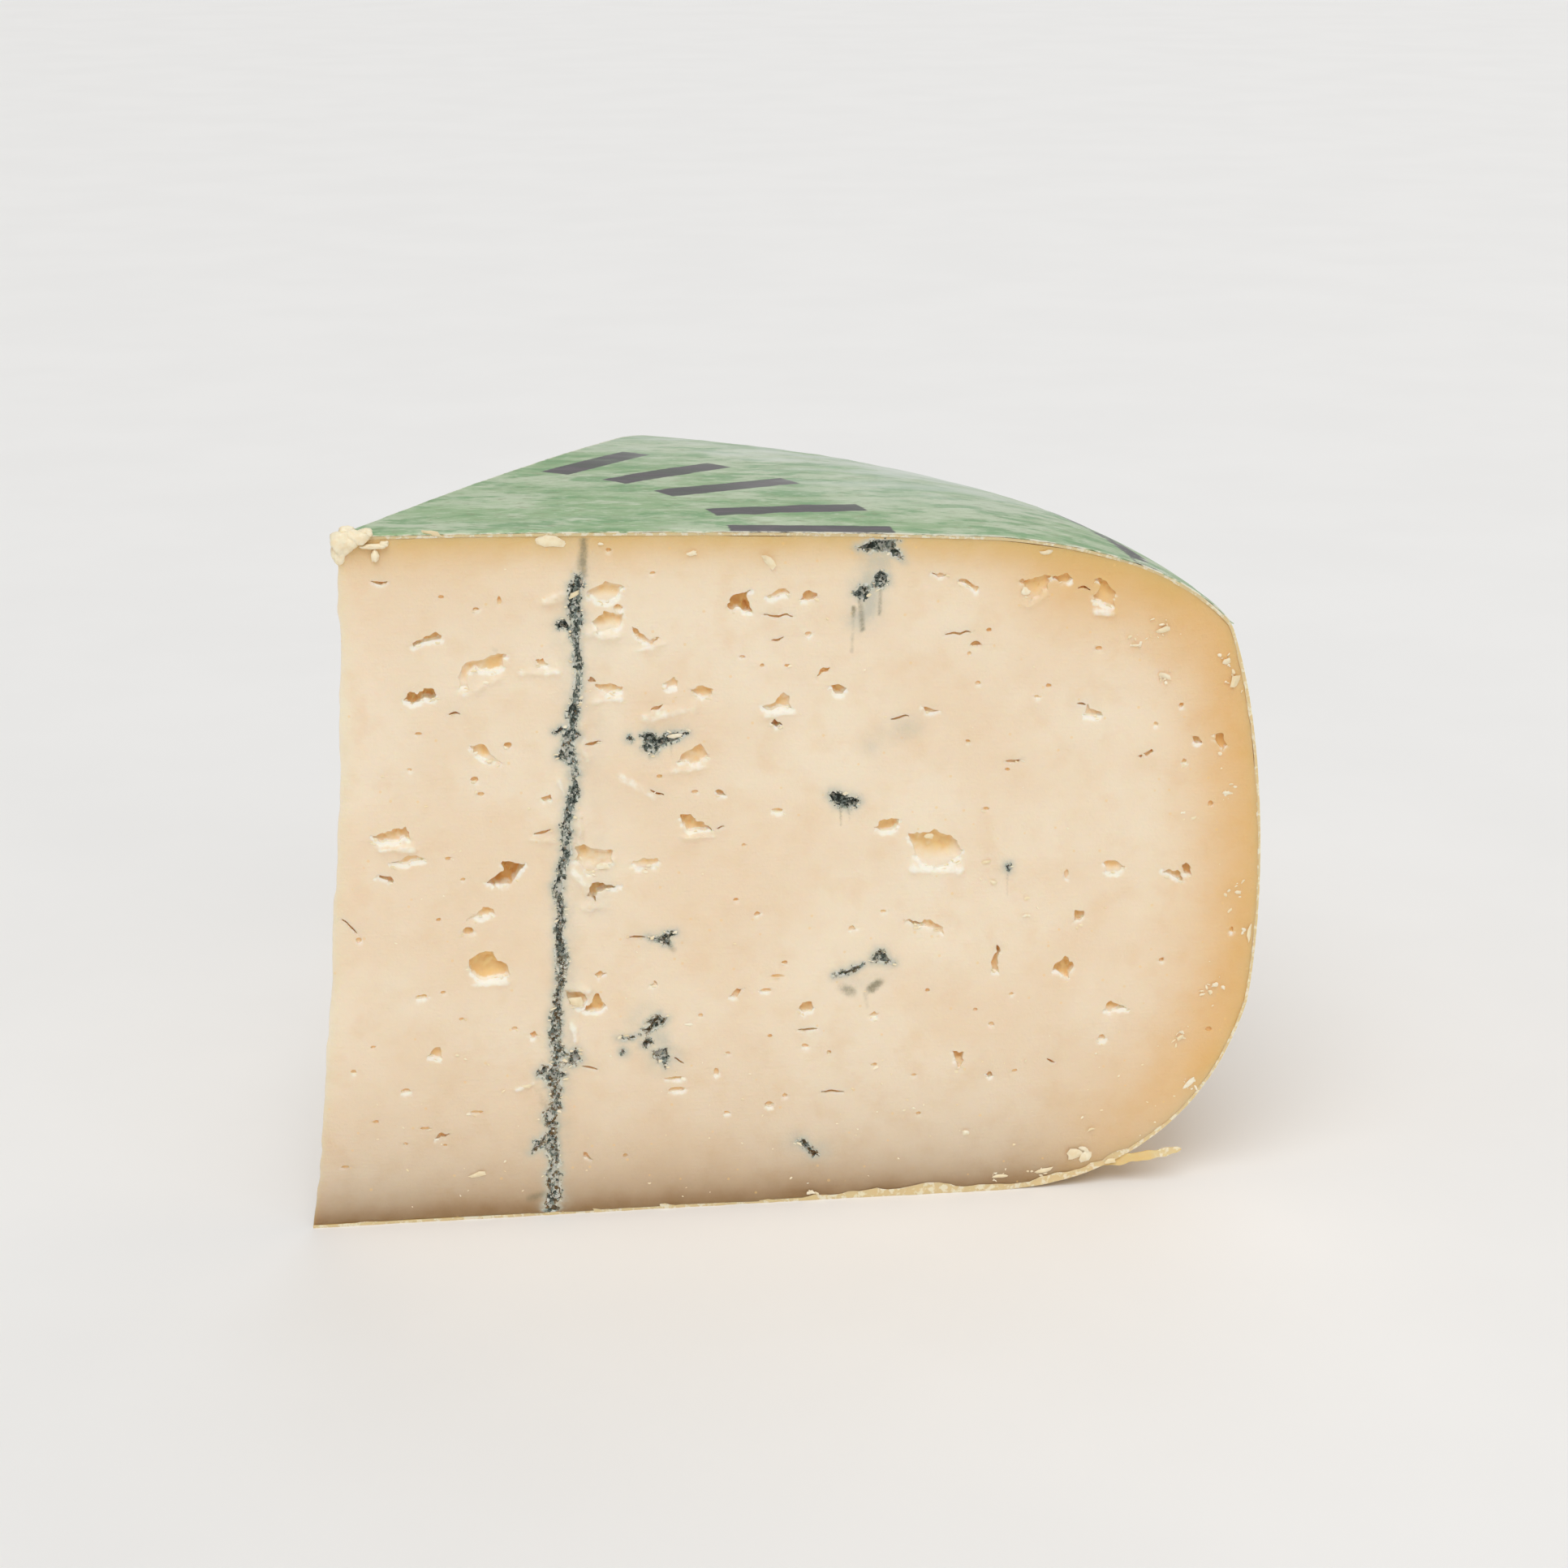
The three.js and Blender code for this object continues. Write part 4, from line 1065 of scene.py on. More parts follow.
def paste_finish():
    """Cream in broad clouds, then each mark's colour over it, the mould last."""
    f = Finish(
        "paste",
        Subsurface_Weight=0.35,
        Subsurface_Radius=(1.0, 0.62, 0.3),
        Subsurface_Scale=3.0 * MM,
        Specular_IOR_Level=0.35,
    )
    broad, cloudy, fine = f.grain(22), f.grain(5, shift=3), f.grain(0.5, 4, shift=5)
    colour = f.blend(broad.between(0.35, 0.65), CREAM, CREAM_PALE)
    colour = f.blend(cloudy.between(0.45, 0.75) * 0.5, colour, CREAM_WARM)
    # Tan towards the foot: partly the rind there, partly painted shade where less light reaches the
    # bottom.
    colour = f.blend(f.mark("foot") * (0.85 + 0.3 * cloudy), colour, FOOT_TAN_AND_SHADE)
    colour = f.blend(f.mark("rind") * (0.8 + 0.35 * cloudy), colour, RIND_YELLOW)
    colour = f.blend(f.mark("top") * (0.75 + 0.4 * cloudy), colour, TOP_YELLOW)
    # Amber in the holes, darker the deeper: partly drier paste, partly painted shade and bounce light
    # inside the hollows.
    deep = f.mark("deep")
    colour = f.blend(deep.between(0.08, 0.55) * 0.85, colour, AMBER)
    colour = f.blend(deep.between(0.6, 1.15) * 0.6, colour, AMBER_DRY_AND_SHADE)
    smeared = f.grain(4, 2, shift=23).between(0.36, 0.6)
    # White on the lower lips and pressed ridges: a painted highlight where light from above catches
    # them, over some smeared paler paste.
    lip = f.mark("lip") * (0.3 + 0.9 * smeared) * (0.4 + 1.2 * fine)
    # Small amber dots in a scatter of cells: the holes' amber, partly painted shade, on tiny pores
    # that have no pit under them.
    pricks = f.cells(PRICK_SIZE).between(0.1, 0.06) * f.crumbs(PRICK_SIZE).between(0.58, 0.66)
    colour = f.blend(pricks * 0.4, colour, AMBER)
    colour = f.blend(lip.between(0.08, 0.55) * 0.8, colour, LIP_SMEAR_AND_HIGHLIGHT)
    speckle, tint = f.grain(0.45, 5, rough=0.75, shift=9), f.grain(1.6, 3, shift=11)
    haze = f.mark("haze") * (cloudy * 0.9 + tint * 0.9 + speckle * 0.6 - 0.2)
    colour = f.blend(haze.between(0.05, 0.95) * 0.8, colour, HAZE_GREY)
    stain = f.mark("stain") * (0.4 + speckle * 1.1 + (tint - 0.5) * 0.8)
    colour = f.blend(stain.between(0.12, 0.8) * 0.8, colour, STAIN_OLIVE)
    stretch_of_vein = f.grain(9, 2, shift=31)
    crumb = f.crumbs(0.42) + (tint - 0.5) * 0.7 + (speckle - 0.5) * 0.4
    crumb = crumb + (stretch_of_vein - 0.5) * 0.9 + 0.07
    mould_colour = f.blend(crumb.between(0.38, 0.44), MOULD_DARK, MOULD_SLATE)
    mould_colour = f.blend(crumb.between(0.5, 0.56), mould_colour, MOULD_BLUE)
    low_down = f.node("ShaderNodeSeparateXYZ", None, {0: f.place}, output=2)
    brown = low_down.between(0.06, 0.015) * f.crumbs(0.5).between(0.46, 0.56)
    mould_colour = f.blend(brown * 0.8, mould_colour, MOULD_BROWN)
    mould_colour = f.blend(crumb.between(0.64, 0.7), mould_colour, MOULD_PALE)
    mould = f.mark("mould")
    mould = mould + mould.between(0.02, 0.3) * ((speckle - 0.5) * 1.9 + (tint - 0.5) * 1.2)
    colour = f.blend(mould.between(0.3, 0.6) * 0.45, colour, HAZE_GREY)
    colour = f.blend(mould.between(0.45, 0.62), colour, mould_colour)
    streaks = f.grain(0.5, 3, stretch=(14, 14, 1), shift=2)
    pores = f.grain(0.4, 4, shift=7)
    height = streaks * 0.35 + pores * 0.5 + fine * 0.3 + f.grain(3, 2, shift=1) * 0.8
    height = height + f.mark("mould") * crumb * 1.1
    roughness = 0.5 + (fine - 0.5) * 0.25 + f.mark("mould") * 0.3
    return f.wear(colour, roughness, height, bump=0.45, distance=0.3)


paste = paste_finish()
print(paste.name, "has", len(paste.node_tree.nodes), "nodes")

# %% [markdown]
# ## The body of the cheese
#
# Now the two cut faces are made and joined to the skin. Each face first exists on its own
# plane; the sunk depth then moves its points inwards along the plane's normal. A last, very
# gentle noise goes over everything, because even a sharp knife leaves a cut a little wavy.

# %% Build the body
front = cut_face(front_edge, EYES, PITS, CRACKS, SPOTS, [VEIN], STAINS, HAZES, RIDGES, seed=1)
back = cut_face(
    back_edge, back_eyes, back_pits, back_cracks, BACK_SPOTS, [BACK_VEIN], BACK_STAINS,
    BACK_HAZES, BACK_RIDGES, seed=2,
)


def on_cut(side, flat, depth):
    """Places on a cut, sunk by their depth: along the cut, then inwards, at their own height.
    The back cut has also drifted."""
    along, outwards = SIDES[side]
    place = flat[:, :1] * along - depth[:, None] * outwards
    if side == "back":
        place[:, 0] -= drift(flat[:, 1])
    place[:, 2] = flat[:, 1]
    return place


def outline_distance(radius, height, line):
    """Distance from points in the wheel's section to a line of the section."""
    section = np.stack([radius, height], 1)
    parts = [
        np.linalg.norm(block[:, None] - line[None], axis=2).min(1)
        for block in np.array_split(section, BLOCKS)
    ]
    return np.concatenate(parts)


def body_mesh():
    """Skin, front face and back face as one list of points, faces and marks."""
    front_points = on_cut("front", front.flat + front.slide, front.depth - front.swell)
    back_points = on_cut("back", back.flat + back.slide, back.depth - back.swell)
    index = np.arange(body_skin[:, :, 0].size).reshape(body_skin.shape[:2])
    points = np.concatenate([body_skin.reshape(-1, 3), front_points, back_points])
    start = index.size
    faces = grid_faces(index).tolist() + (front.triangles + start).tolist()
    faces += (back.triangles + start + len(front.flat)).tolist()
    marks = {
        name: np.concatenate([np.zeros(start), front.marks[name], back.marks[name]])
        for name in front.marks
    }
    radius, height = np.hypot(points[:, 0], points[:, 1]), points[:, 2]
    section = outline(0, 1.0)
    side = section[(section[:, 1] > 4) & (section[:, 0] > 98)]
    top = section[section[:, 1] > 88]
    side_gap = outline_distance(radius, height, side)
    top_gap = outline_distance(radius, height, top)
    marks["rind"] = 0.88 * np.exp(-((side_gap / 10.0) ** 2)) * (0.5 + 0.5 * ramp(height, 4, 20))
    marks["top"] = 0.75 * np.exp(-((top_gap / 3.4) ** 2)) + 0.22 * np.exp(-((top_gap / 8.0) ** 2))
    # The foot mark grows darker towards the bottom: partly rind, partly painted shade.
    marks["foot"] = np.clip(0.74 * np.exp(-height / 9.0) + 0.5 * np.exp(-height / 2.5), 0, 1)
    uneven = 1 + 1.5 * marks["haze"]
    wave = [
        noise(points, 9.0, i) * 0.13
        + noise(points, 3.0, i + 4) * 0.05 * uneven
        + noise(points, 1.4, i + 8) * 0.02 * uneven
        for i in range(3)
    ]
    return points + np.stack(wave, 1), faces, marks


body_points, body_faces, body_marks = body_mesh()
cheese = make_piece("paste_body", body_points, body_faces, paste, body_marks, crease=48)
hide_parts("cheese")

# %% [markdown]
# ## The film round the wheel
#
# A wheel is painted with several coats of a golden food film while it ripens, and the film
# sets into a skin less than half a millimetre thick. It takes up every dent of the cloth and
# the shelf, and the knife leaves its cut edge a little proud and uneven. It is one closed
# sheet: the outer grid has the dents, and the inner grid lies on the paste.

# %% Film
FILM_STEP = 0.85
FILM_TURNS = 112
FILM_FOOT_ROWS = 120
FILM_PIT = 1 / 0.26


def film_finish():
    """Two golds in wide patches, a darker one in clouds, and paler along the cut edges."""
    f = Finish(
        "golden_film",
        Coat_Roughness=0.22,
        Coat_Weight=0.3,
        Subsurface_Weight=0.25,
        Subsurface_Radius=(1.0, 0.5, 0.2),
        Subsurface_Scale=2.0 * MM,
    )
    cloudy, patches, fine = f.grain(9), f.grain(28, shift=4), f.grain(0.8, 4, shift=6)
    colour = f.blend(patches.between(0.35, 0.65), (228, 184, 112), (234, 196, 130))
    colour = f.blend(cloudy.between(0.45, 0.7) * 0.45, colour, (214, 164, 92))
    colour = f.blend(fine.between(0.6, 0.75) * 0.35, colour, (240, 206, 148))
    rim = f.mark("rim") + (fine - 0.5) * 0.5
    colour = f.blend(rim.between(0.2, 0.7) * 0.9, colour, (228, 200, 150))
    colour = f.blend(rim.between(0.6, 0.9) * fine.between(0.48, 0.62), colour, (244, 228, 196))
    height = cloudy * 0.8 + fine * 0.35 + f.cells(FILM_PIT).between(0.0, 0.35) * 0.35
    roughness = 0.34 + cloudy * 0.2
    return f.wear(colour, roughness, height, bump=0.4, distance=0.3)


def film_mesh():
    """Outer grid dented by noise, inner grid on the paste, and edges that stand proud of the
    cuts and are smeared over them in places."""
    turns = np.linspace(0, 1, FILM_TURNS + 1)
    outer = skin(0.0, turns, FILM_STEP, FILM_FOOT_ROWS)
    inner = skin(BODY_INSET, turns, FILM_STEP, FILM_FOOT_ROWS)
    flat = outer.reshape(-1, 3)
    outwards = outer - inner
    outwards /= np.linalg.norm(outwards, axis=2)[:, :, None] + 1e-9
    dents = 0.22 * noise(flat, 14, 3) + 0.1 * noise(flat, 4, 5) + 0.05 * noise(flat, 1.6, 7)
    dents = np.clip(dents.reshape(outer.shape[:2]) - 0.1, -0.28, 0.2)
    columns = np.arange(FILM_TURNS + 1)
    held = ramp(np.minimum(columns, FILM_TURNS - columns), 0, 5)[None]
    standing = ramp(outer[:, :, 2], 0.3, 5.0) * ramp(outer[:, :, 2], 88, 80) * held
    outer = outer + outwards * (dents * standing)[:, :, None]
    for column, cut_outwards in CUT_COLUMNS:
        strip = outer[:, column]
        radius, height = np.hypot(strip[:, 0], strip[:, 1]), strip[:, 2]
        scraped = ramp(radius, 66, 78) * ramp(radius, 106, 98) * ramp(height, 7, 3)
        proud = 0.07 + 0.06 * noise(strip, 2.0, 21) + 0.06 * noise(strip, 0.9, 22)
        proud += 0.16 * scraped
        smear = 0.25 + 0.5 * noise(strip, 5.0, 23) + 0.3 * noise(strip, 1.3, 24)
        low = ramp(height, 12, 3) * ramp(radius, 18, 40)
        high = ramp(height, 84, 90)
        smear = np.clip(smear, 0, 1) * (0.25 + 0.65 * low) * (1 - high)
        smear += scraped * (0.7 + 0.25 * noise(strip, 2.4, 25) + 0.6 * noise(strip, 7.0, 26))
        outer[:, column] += proud[:, None] * cut_outwards
        inner[:, column] += (proud * (1 - 0.5 * high))[:, None] * cut_outwards
        inner[:, column] -= smear[:, None] * outwards[:, column]
    rim = np.zeros(outer.shape[:2])
    rim[:, 0] = rim[:, -1] = 1
    return *slab(outer, inner), {"rim": np.concatenate([rim.ravel(), rim.ravel()])}


film_points, film_faces, film_marks = film_mesh()
film_material = film_finish()
film = make_piece(
    "golden_film", film_points, film_faces, film_material, film_marks
)
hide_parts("rind_film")

# %% [markdown]
# ## The paper label
#
# The label is thin paper printed in mottled green and glued over the top and the shoulder. Its
# marks here are five plain bars set round the axis like the hours of a dial, and a worn broken
# ring near its rim. The paper is a closed sheet 0.14 mm thick, with small wrinkles where it
# follows the shoulder, and torn fibres along both cuts.

# %% Label
LABEL_LIFT = 0.02
LABEL_THICK = 0.14
LABEL_TURNS = 190
LABEL_STEP = 0.7
LABEL_FOOT, LABEL_REACH = 81.0, 122
BAR_ANGLES = (1.5, 13, 29, 41, 53)
BAR_INNER, BAR_OUTER, BAR_HALF_WIDTH = 51.0, 73.0, 2.4
RING_RADIUS = 107.5


def label_finish():
    """Brushed greens, then the bars and the ring in dark ink, then a painted sheen, scuffs and
    fibres.
    """
    f = Finish("label_paper", Coat_Weight=0.35, Coat_Roughness=0.3, Specular_IOR_Level=0.4)
    wash = f.grain(11, 4, stretch=(1.6, 1, 1), shift=2)
    brush = f.grain(3.4, 5, stretch=(2.4, 1, 1), rough=0.65, shift=8)
    fine = f.grain(0.7, 4, stretch=(2.5, 1, 1), shift=4)
    colour = f.blend(wash.between(0.4, 0.62), (156, 188, 138), (194, 210, 176))
    colour = f.blend(brush.between(0.48, 0.62) * 0.8, colour, (114, 164, 106))
    colour = f.blend(brush.between(0.45, 0.33) * 0.6, colour, (212, 222, 194))
    colour = f.blend(fine.between(0.54, 0.68) * 0.4, colour, (222, 228, 206))
    colour = f.blend(fine.between(0.45, 0.32) * 0.5, colour, (140, 146, 104))
    x, y = (
        f.node("ShaderNodeSeparateXYZ", None, {0: f.place}, output=i) - AXIS[i] for i in (0, 1)
    )
    radius = (x * x + y * y).math("POWER", 0.5) * (1 / MM)
    turn = y.math("ARCTAN2", x)
    edge = (fine - 0.5) * 0.6
    bars = None
    for degrees in BAR_ANGLES:
        beside = (turn - math.radians(degrees)).math("ABSOLUTE") * radius + edge
        bar = 1 - beside.between(BAR_HALF_WIDTH - 0.25, BAR_HALF_WIDTH + 0.15)
        bars = bar if bars is None else bars.math("MAXIMUM", bar)
    ends = (radius + edge).between(BAR_INNER, BAR_INNER + 0.4)
    ends = ends * (1 - (radius + edge).between(BAR_OUTER, BAR_OUTER + 0.4))
    worn = f.grain(7, 5, rough=0.7, shift=13)
    ring = (radius - RING_RADIUS).math("ABSOLUTE") + edge * 2
    ring = (1 - ring.between(1.4, 1.9)) * worn.between(0.44, 0.5)
    ink = (bars * ends).math("MAXIMUM", ring) * (0.84 + 0.16 * brush.between(0.3, 0.6))
    ink_colour = f.blend(brush.between(0.4, 0.65), (56, 52, 58), (96, 88, 92))
    colour = f.blend(ink, colour, ink_colour)
    # A pale wash over the far shoulder: a painted reflection of the bright surroundings on the paper.
    patchy = 0.35 + 0.9 * f.grain(9, 4, (2, 1, 1), shift=17).between(0.4, 0.62)
    painted_sheen = radius.between(56, 100) * turn.between(0.1, 0.55) * patchy
    colour = f.blend(painted_sheen * 0.65, colour, (232, 238, 230))
    scuffs = f.grain(2.6, 5, stretch=(3, 1, 1), rough=0.75, shift=21).between(0.56, 0.66)
    scuffs = scuffs * radius.between(92, 106)
    colour = f.blend(scuffs * 0.85, colour, (236, 236, 226))
    colour = f.blend(f.mark("torn") * fine.between(0.36, 0.56), colour, (238, 234, 212))
    height = fine * 0.4 + f.grain(5, 3, shift=15) * 0.5
    return f.wear(colour, 0.5 + (fine - 0.5) * 0.2, height, bump=0.25, distance=0.15)


def label_mesh():
    """The dome and shoulder rows of the skin, lifted and wrinkled; the inner grid follows."""
    turns = np.linspace(0, 1, LABEL_TURNS + 1)
    grids = []
    for lift in (LABEL_LIFT + LABEL_THICK, LABEL_LIFT):
        rows = skin(-lift, turns, LABEL_STEP, 2)[2:]
        radius = np.hypot(rows[:, 0, 0], rows[:, 0, 1])
        start = np.flatnonzero((rows[:, 0, 2] > LABEL_FOOT) & (radius < LABEL_REACH))[0]
        grids.append(rows[start:])
    outer, inner = grids
    size = min(len(outer), len(inner))
    outer, inner = outer[-size:], inner[-size:]
    flat = outer.reshape(-1, 3)
    wrinkle = 0.16 * noise(flat, 11, 31) + 0.08 * noise(flat, 3.5, 33)
    wrinkle = (wrinkle + 0.04 * noise(flat, 1.4, 35) + 0.04).reshape(outer.shape[:2])
    columns = np.arange(LABEL_TURNS + 1)
    glued = ramp(np.minimum(columns, LABEL_TURNS - columns), 0, 5)[None, :, None]
    glued = glued * ramp(np.hypot(outer[:, :, 0], outer[:, :, 1]), 0.1, 3)[:, :, None]
    lift = np.maximum(wrinkle, 0)[:, :, None] * glued * UP
    outer, inner = outer + lift, inner + lift
    for column, outwards in CUT_COLUMNS:
        strip = outer[:, column]
        off_axis = ramp(np.hypot(strip[:, 0], strip[:, 1]), 0.1, 3)
        proud = 0.05 + 0.09 * noise(strip, 1.6, 41) + 0.09 * noise(strip, 0.7, 42)
        outer[:, column] += ((proud + 0.03) * off_axis)[:, None] * outwards
        inner[:, column] += (proud * off_axis)[:, None] * outwards
        inner[:, column, 2] += 0.07 * noise(strip, 1.1, 43) * off_axis
    for grid in (outer, inner):
        grid[0, :, 2] -= 0.5 * noise(grid[0], 2.4, 44)
    torn = np.zeros(outer.shape[:2])
    torn[:, 0] = torn[:, -1] = 1
    torn[0] = 0.8
    return *slab(outer, inner), {"torn": np.concatenate([torn.ravel(), torn.ravel()])}


label_points, label_faces, label_marks = label_mesh()
label = make_piece(
    "paper_label", label_points, label_faces, label_finish(), label_marks
)
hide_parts("top_label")

# %% [markdown]
# ## Crumbs of mould
#
# Inside the vein the mould stands up in grains, some dark, some the blue-grey of its spores
# and some whitish. Each grain is a little ball of twenty faces, pressed out of round. They are
# all one piece, and each grain carries its own number for the colour.

# %% Mould grains
FRONT_GRAINS, BACK_GRAINS = 1600, 900
GRAIN_SINK = 0.03
GRAIN_PALE, GRAIN_DUST = (222, 222, 210), (92, 98, 88)
GOLD = (1 + math.sqrt(5)) / 2
BALL = np.array(
    [(a, b, 0) for a in (-1, 1) for b in (-GOLD, GOLD)]
    + [(0, a, b) for a in (-1, 1) for b in (-GOLD, GOLD)]
    + [(b, 0, a) for a in (-1, 1) for b in (-GOLD, GOLD)]
) / math.hypot(1, GOLD)


def ball_faces():
    """The twenty triangles of corners that are all one short edge apart, facing outwards."""
    gap = np.linalg.norm(BALL[:, None] - BALL[None], axis=2)
    near = (gap > 0.1) & (gap < 1.1)
    triples = [
        (i, j, k) for i, j, k in product(range(12), repeat=3)
        if i < j < k and near[i, j] and near[j, k] and near[i, k]
    ]
    turned = []
    for i, j, k in triples:
        out = np.cross(BALL[j] - BALL[i], BALL[k] - BALL[i]) @ BALL[i]
        turned.append((i, j, k) if out > 0 else (i, k, j))
    return np.array(turned)


def grains(centres, sizes, random):
    """Balls at the centres, each with its corners moved at random, as points and faces."""
    shape = BALL[None] * random.uniform(0.65, 1.25, (len(centres), 12, 1))
    squeeze = random.uniform(0.6, 1.3, (len(centres), 1, 3))
    points = centres[:, None] + shape * squeeze * sizes[:, None, None]
    faces = ball_faces()[None] + 12 * np.arange(len(centres))[:, None, None]
    return points.reshape(-1, 3), faces.reshape(-1, 3)


def grain_places(cut, count, random):
    """Random places among a cut's mouldiest points, as numbers of those points."""
    likely = np.flatnonzero(cut.marks["mould"] > 0.68)
    return random.choice(likely, count)


def mould_finish():
    """One colour for each grain, chosen by its tone, with a little dust over it."""
    f = Finish("mould_grains", Roughness=0.8)
    tone = f.mark("tone")
    colour = f.blend(tone.between(0.15, 0.2), MOULD_DARK, MOULD_SLATE)
    colour = f.blend(tone.between(0.42, 0.5), colour, MOULD_BLUE)
    colour = f.blend(tone.between(0.62, 0.66), colour, MOULD_BROWN)
    colour = f.blend(tone.between(0.7, 0.76), colour, GRAIN_PALE)
    colour = f.blend(f.grain(0.2, 3).between(0.4, 0.7) * 0.4, colour, GRAIN_DUST)
    return f.wear(colour, None, f.grain(0.15, 3), bump=0.5, distance=0.1)


random = np.random.default_rng(5)
picked = grain_places(front, FRONT_GRAINS, random)
front_centres = on_cut("front", front.flat[picked], front.depth[picked] - GRAIN_SINK)
picked = grain_places(back, BACK_GRAINS, random)
back_centres = on_cut("back", back.flat[picked], back.depth[picked])
centres = np.concatenate([front_centres, back_centres])
centres += random.normal(0, 0.06, centres.shape)
sizes = 0.05 + 0.16 * random.random(len(centres)) ** 2
grain_points, grain_faces = grains(centres, sizes, random)
tones = np.repeat(random.random(len(centres)), 12)
make_piece(
    "mould_grains", grain_points, grain_faces, mould_finish(), {"tone": tones}
)

# %% [markdown]
# ## Flakes and shreds
#
# A knife tears as much as it cuts: pale shreds hang on the lips of the holes, and chips of
# rind and paste are pressed onto the face. A chip is a ten-sided rim with a ring and a middle
# on each side, thickest in its middle and curled a little. The large ones are listed, each as
# its place on the front cut, length, width, turn and lean in degrees; the small ones are
# strewn along the outlines of the holes and the banks of the vein.

# %% Flakes
FLAKE_SIDES = 10
FLAKE_RINGS = 5
SHRED_COUNTS = {"front": 420, "back": 260}
SPECK_COUNT = 170
FLAKES = [
    (27.4, 95.7, 4.6, 1.8, -8, 0), (12.2, 97.3, 3.0, 1.3, -20, 40),
    (56.3, 92.2, 2.8, 1.5, -45, 25),
    (34, 95.2, 0.9, 0.5, 0, 20), (46, 93.6, 1.6, 0.8, 10, 10), (93.5, 92.2, 2.0, 0.8, 5, 20),
    (110, 81, 2.4, 1.1, 10, 20), (106.3, 79, 1.4, 0.6, 0, 25), (119, 76.3, 1.6, 1.3, 30, 20),
    (120.2, 73.5, 2.4, 1.6, 60, 20), (110.5, 74.5, 2.2, 0.9, -30, 20), (119.8, 57.5, 1.2, 0.9, 0, 15),
    (115.2, 54.1, 1.2, 0.7, 20, 15), (121.9, 43, 1.0, 0.8, 0, 15), (123.8, 37, 3.0, 0.7, 85, 15),
    (119.2, 29.4, 1.2, 0.9, 0, 15), (114.5, 21.8, 1.4, 0.9, 30, 15), (116, 14.6, 3.2, 1.1, 40, 10),
    (13.2, 24.5, 0.8, 0.5, 0, 20), (14.3, 23.9, 0.7, 0.4, 0, 20), (15.4, 6.7, 2.8, 0.9, 15, 15),
    (45, 27.3, 2.2, 0.6, 0, 20), (86.3, 49, 1.6, 0.7, 10, 20), (87.2, 46, 1.4, 0.8, -20, 20),
    (92, 43.5, 1.0, 0.8, 0, 20), (92, 41, 1.2, 0.6, 0, 20), (84, 9, 1.2, 1.0, 0, 20),
    (102, 8.5, 1.2, 0.6, 20, 20), (99.8, 4.9, 2.8, 2.0, 15, 12), (101.3, 4.4, 2.4, 2.2, 60, 8),
    (100.9, 5.6, 1.8, 1.1, -20, 20), (104.9, 3.5, 1.8, 1.0, 10, 5),
    (90.8, 87, 1.4, 1.3, 0, 10), (78.3, 53.1, 1.7, 1.0, 10, 10), (30.1, 88.3, 3.2, 0.9, 25, 15),
    (62, 1.2, 1.6, 0.8, 3, 5), (89, 2.1, 2.4, 0.6, 3, 5), (95.5, 2.6, 2.8, 0.9, 8, 5),
    (33.6, 50.9, 2.2, 1.0, 0, 10), (29.6, 31.6, 2.6, 1.6, -20, 15), (22.6, 19.4, 1.8, 0.8, 10, 15),
    (43.6, 68.7, 2.2, 0.7, 10, 15), (60.4, 8.7, 1.0, 0.5, -30, 15),
]


def flakes(centres, along, outwards, length, width, thick, turn, lean, random):
    """Chips round their centres: rim radius random, thickness falling with the square of the
    way to the rim, curled with the square of the way along, then turned and leaned."""
    count = len(centres)
    angle = np.linspace(0, 2 * math.pi, FLAKE_SIDES, endpoint=False)
    rim = random.uniform(0.62, 1.15, (count, FLAKE_SIDES))
    share = np.array([1.0, 0.55, 0.55, 0.0, 0.0])
    side = np.array([0, 1, -1, 1, -1])
    ring = rim[:, None] * share[None, :, None]
    x = ring * np.cos(angle) * length[:, None, None] / 2
    y = ring * np.sin(angle) * width[:, None, None] / 2
    dome = (1 - share**2) * side * 0.5
    curl = random.uniform(-0.5, 0.9, (count, 1, 1))
    z = dome[None, :, None] * thick[:, None, None] + curl * x**2 / length[:, None, None]
    cos, sin = np.cos(lean)[:, None, None], np.sin(lean)[:, None, None]
    y, z = y * cos - z * sin, y * sin + z * cos
    cos, sin = np.cos(turn)[:, None, None], np.sin(turn)[:, None, None]
    x, y = x * cos - y * sin, x * sin + y * cos
    points = centres[:, None, None] + x[..., None] * along + y[..., None] * UP
    points = (points + z[..., None] * outwards).reshape(-1, 3)
    index = np.arange(FLAKE_RINGS * FLAKE_SIDES).reshape(FLAKE_RINGS, FLAKE_SIDES)
    wrapped = np.concatenate([index, index[:, :1]], axis=1)
    joined = ((0, 1), (1, 3), (2, 0), (4, 2))
    quads = np.concatenate([grid_faces(wrapped[list(pair)]) for pair in joined])
    faces = quads[None] + index.size * np.arange(count)[:, None, None]
    return points, faces.reshape(-1, 4)


def strewn(cut, count, random):
    """Numbers of points that lie just outside a hole's or the vein's lip."""
    mould = cut.marks["mould"]
    busy = (cut.marks["lip"] > 0.25) | ((mould > 0.3) & (mould < 0.6))
    return random.choice(np.flatnonzero(busy & (cut.depth < 0.3)), count)


def flake_finish():
    """Pale cream, between two shades by the tone of each flake, with warmer clouds."""
    f = Finish(
        "pale_flakes",
        Subsurface_Weight=0.15,
        Subsurface_Radius=(1.0, 0.75, 0.5),
        Subsurface_Scale=0.5 * MM,
        Roughness=0.45,
    )
    colour = f.blend(f.mark("tone"), (255, 246, 222), (248, 228, 186))
    colour = f.blend(f.grain(0.9, 3).between(0.4, 0.7) * 0.6, colour, (242, 218, 174))
    return f.wear(colour, None, f.grain(0.5, 3), bump=0.3, distance=0.15)


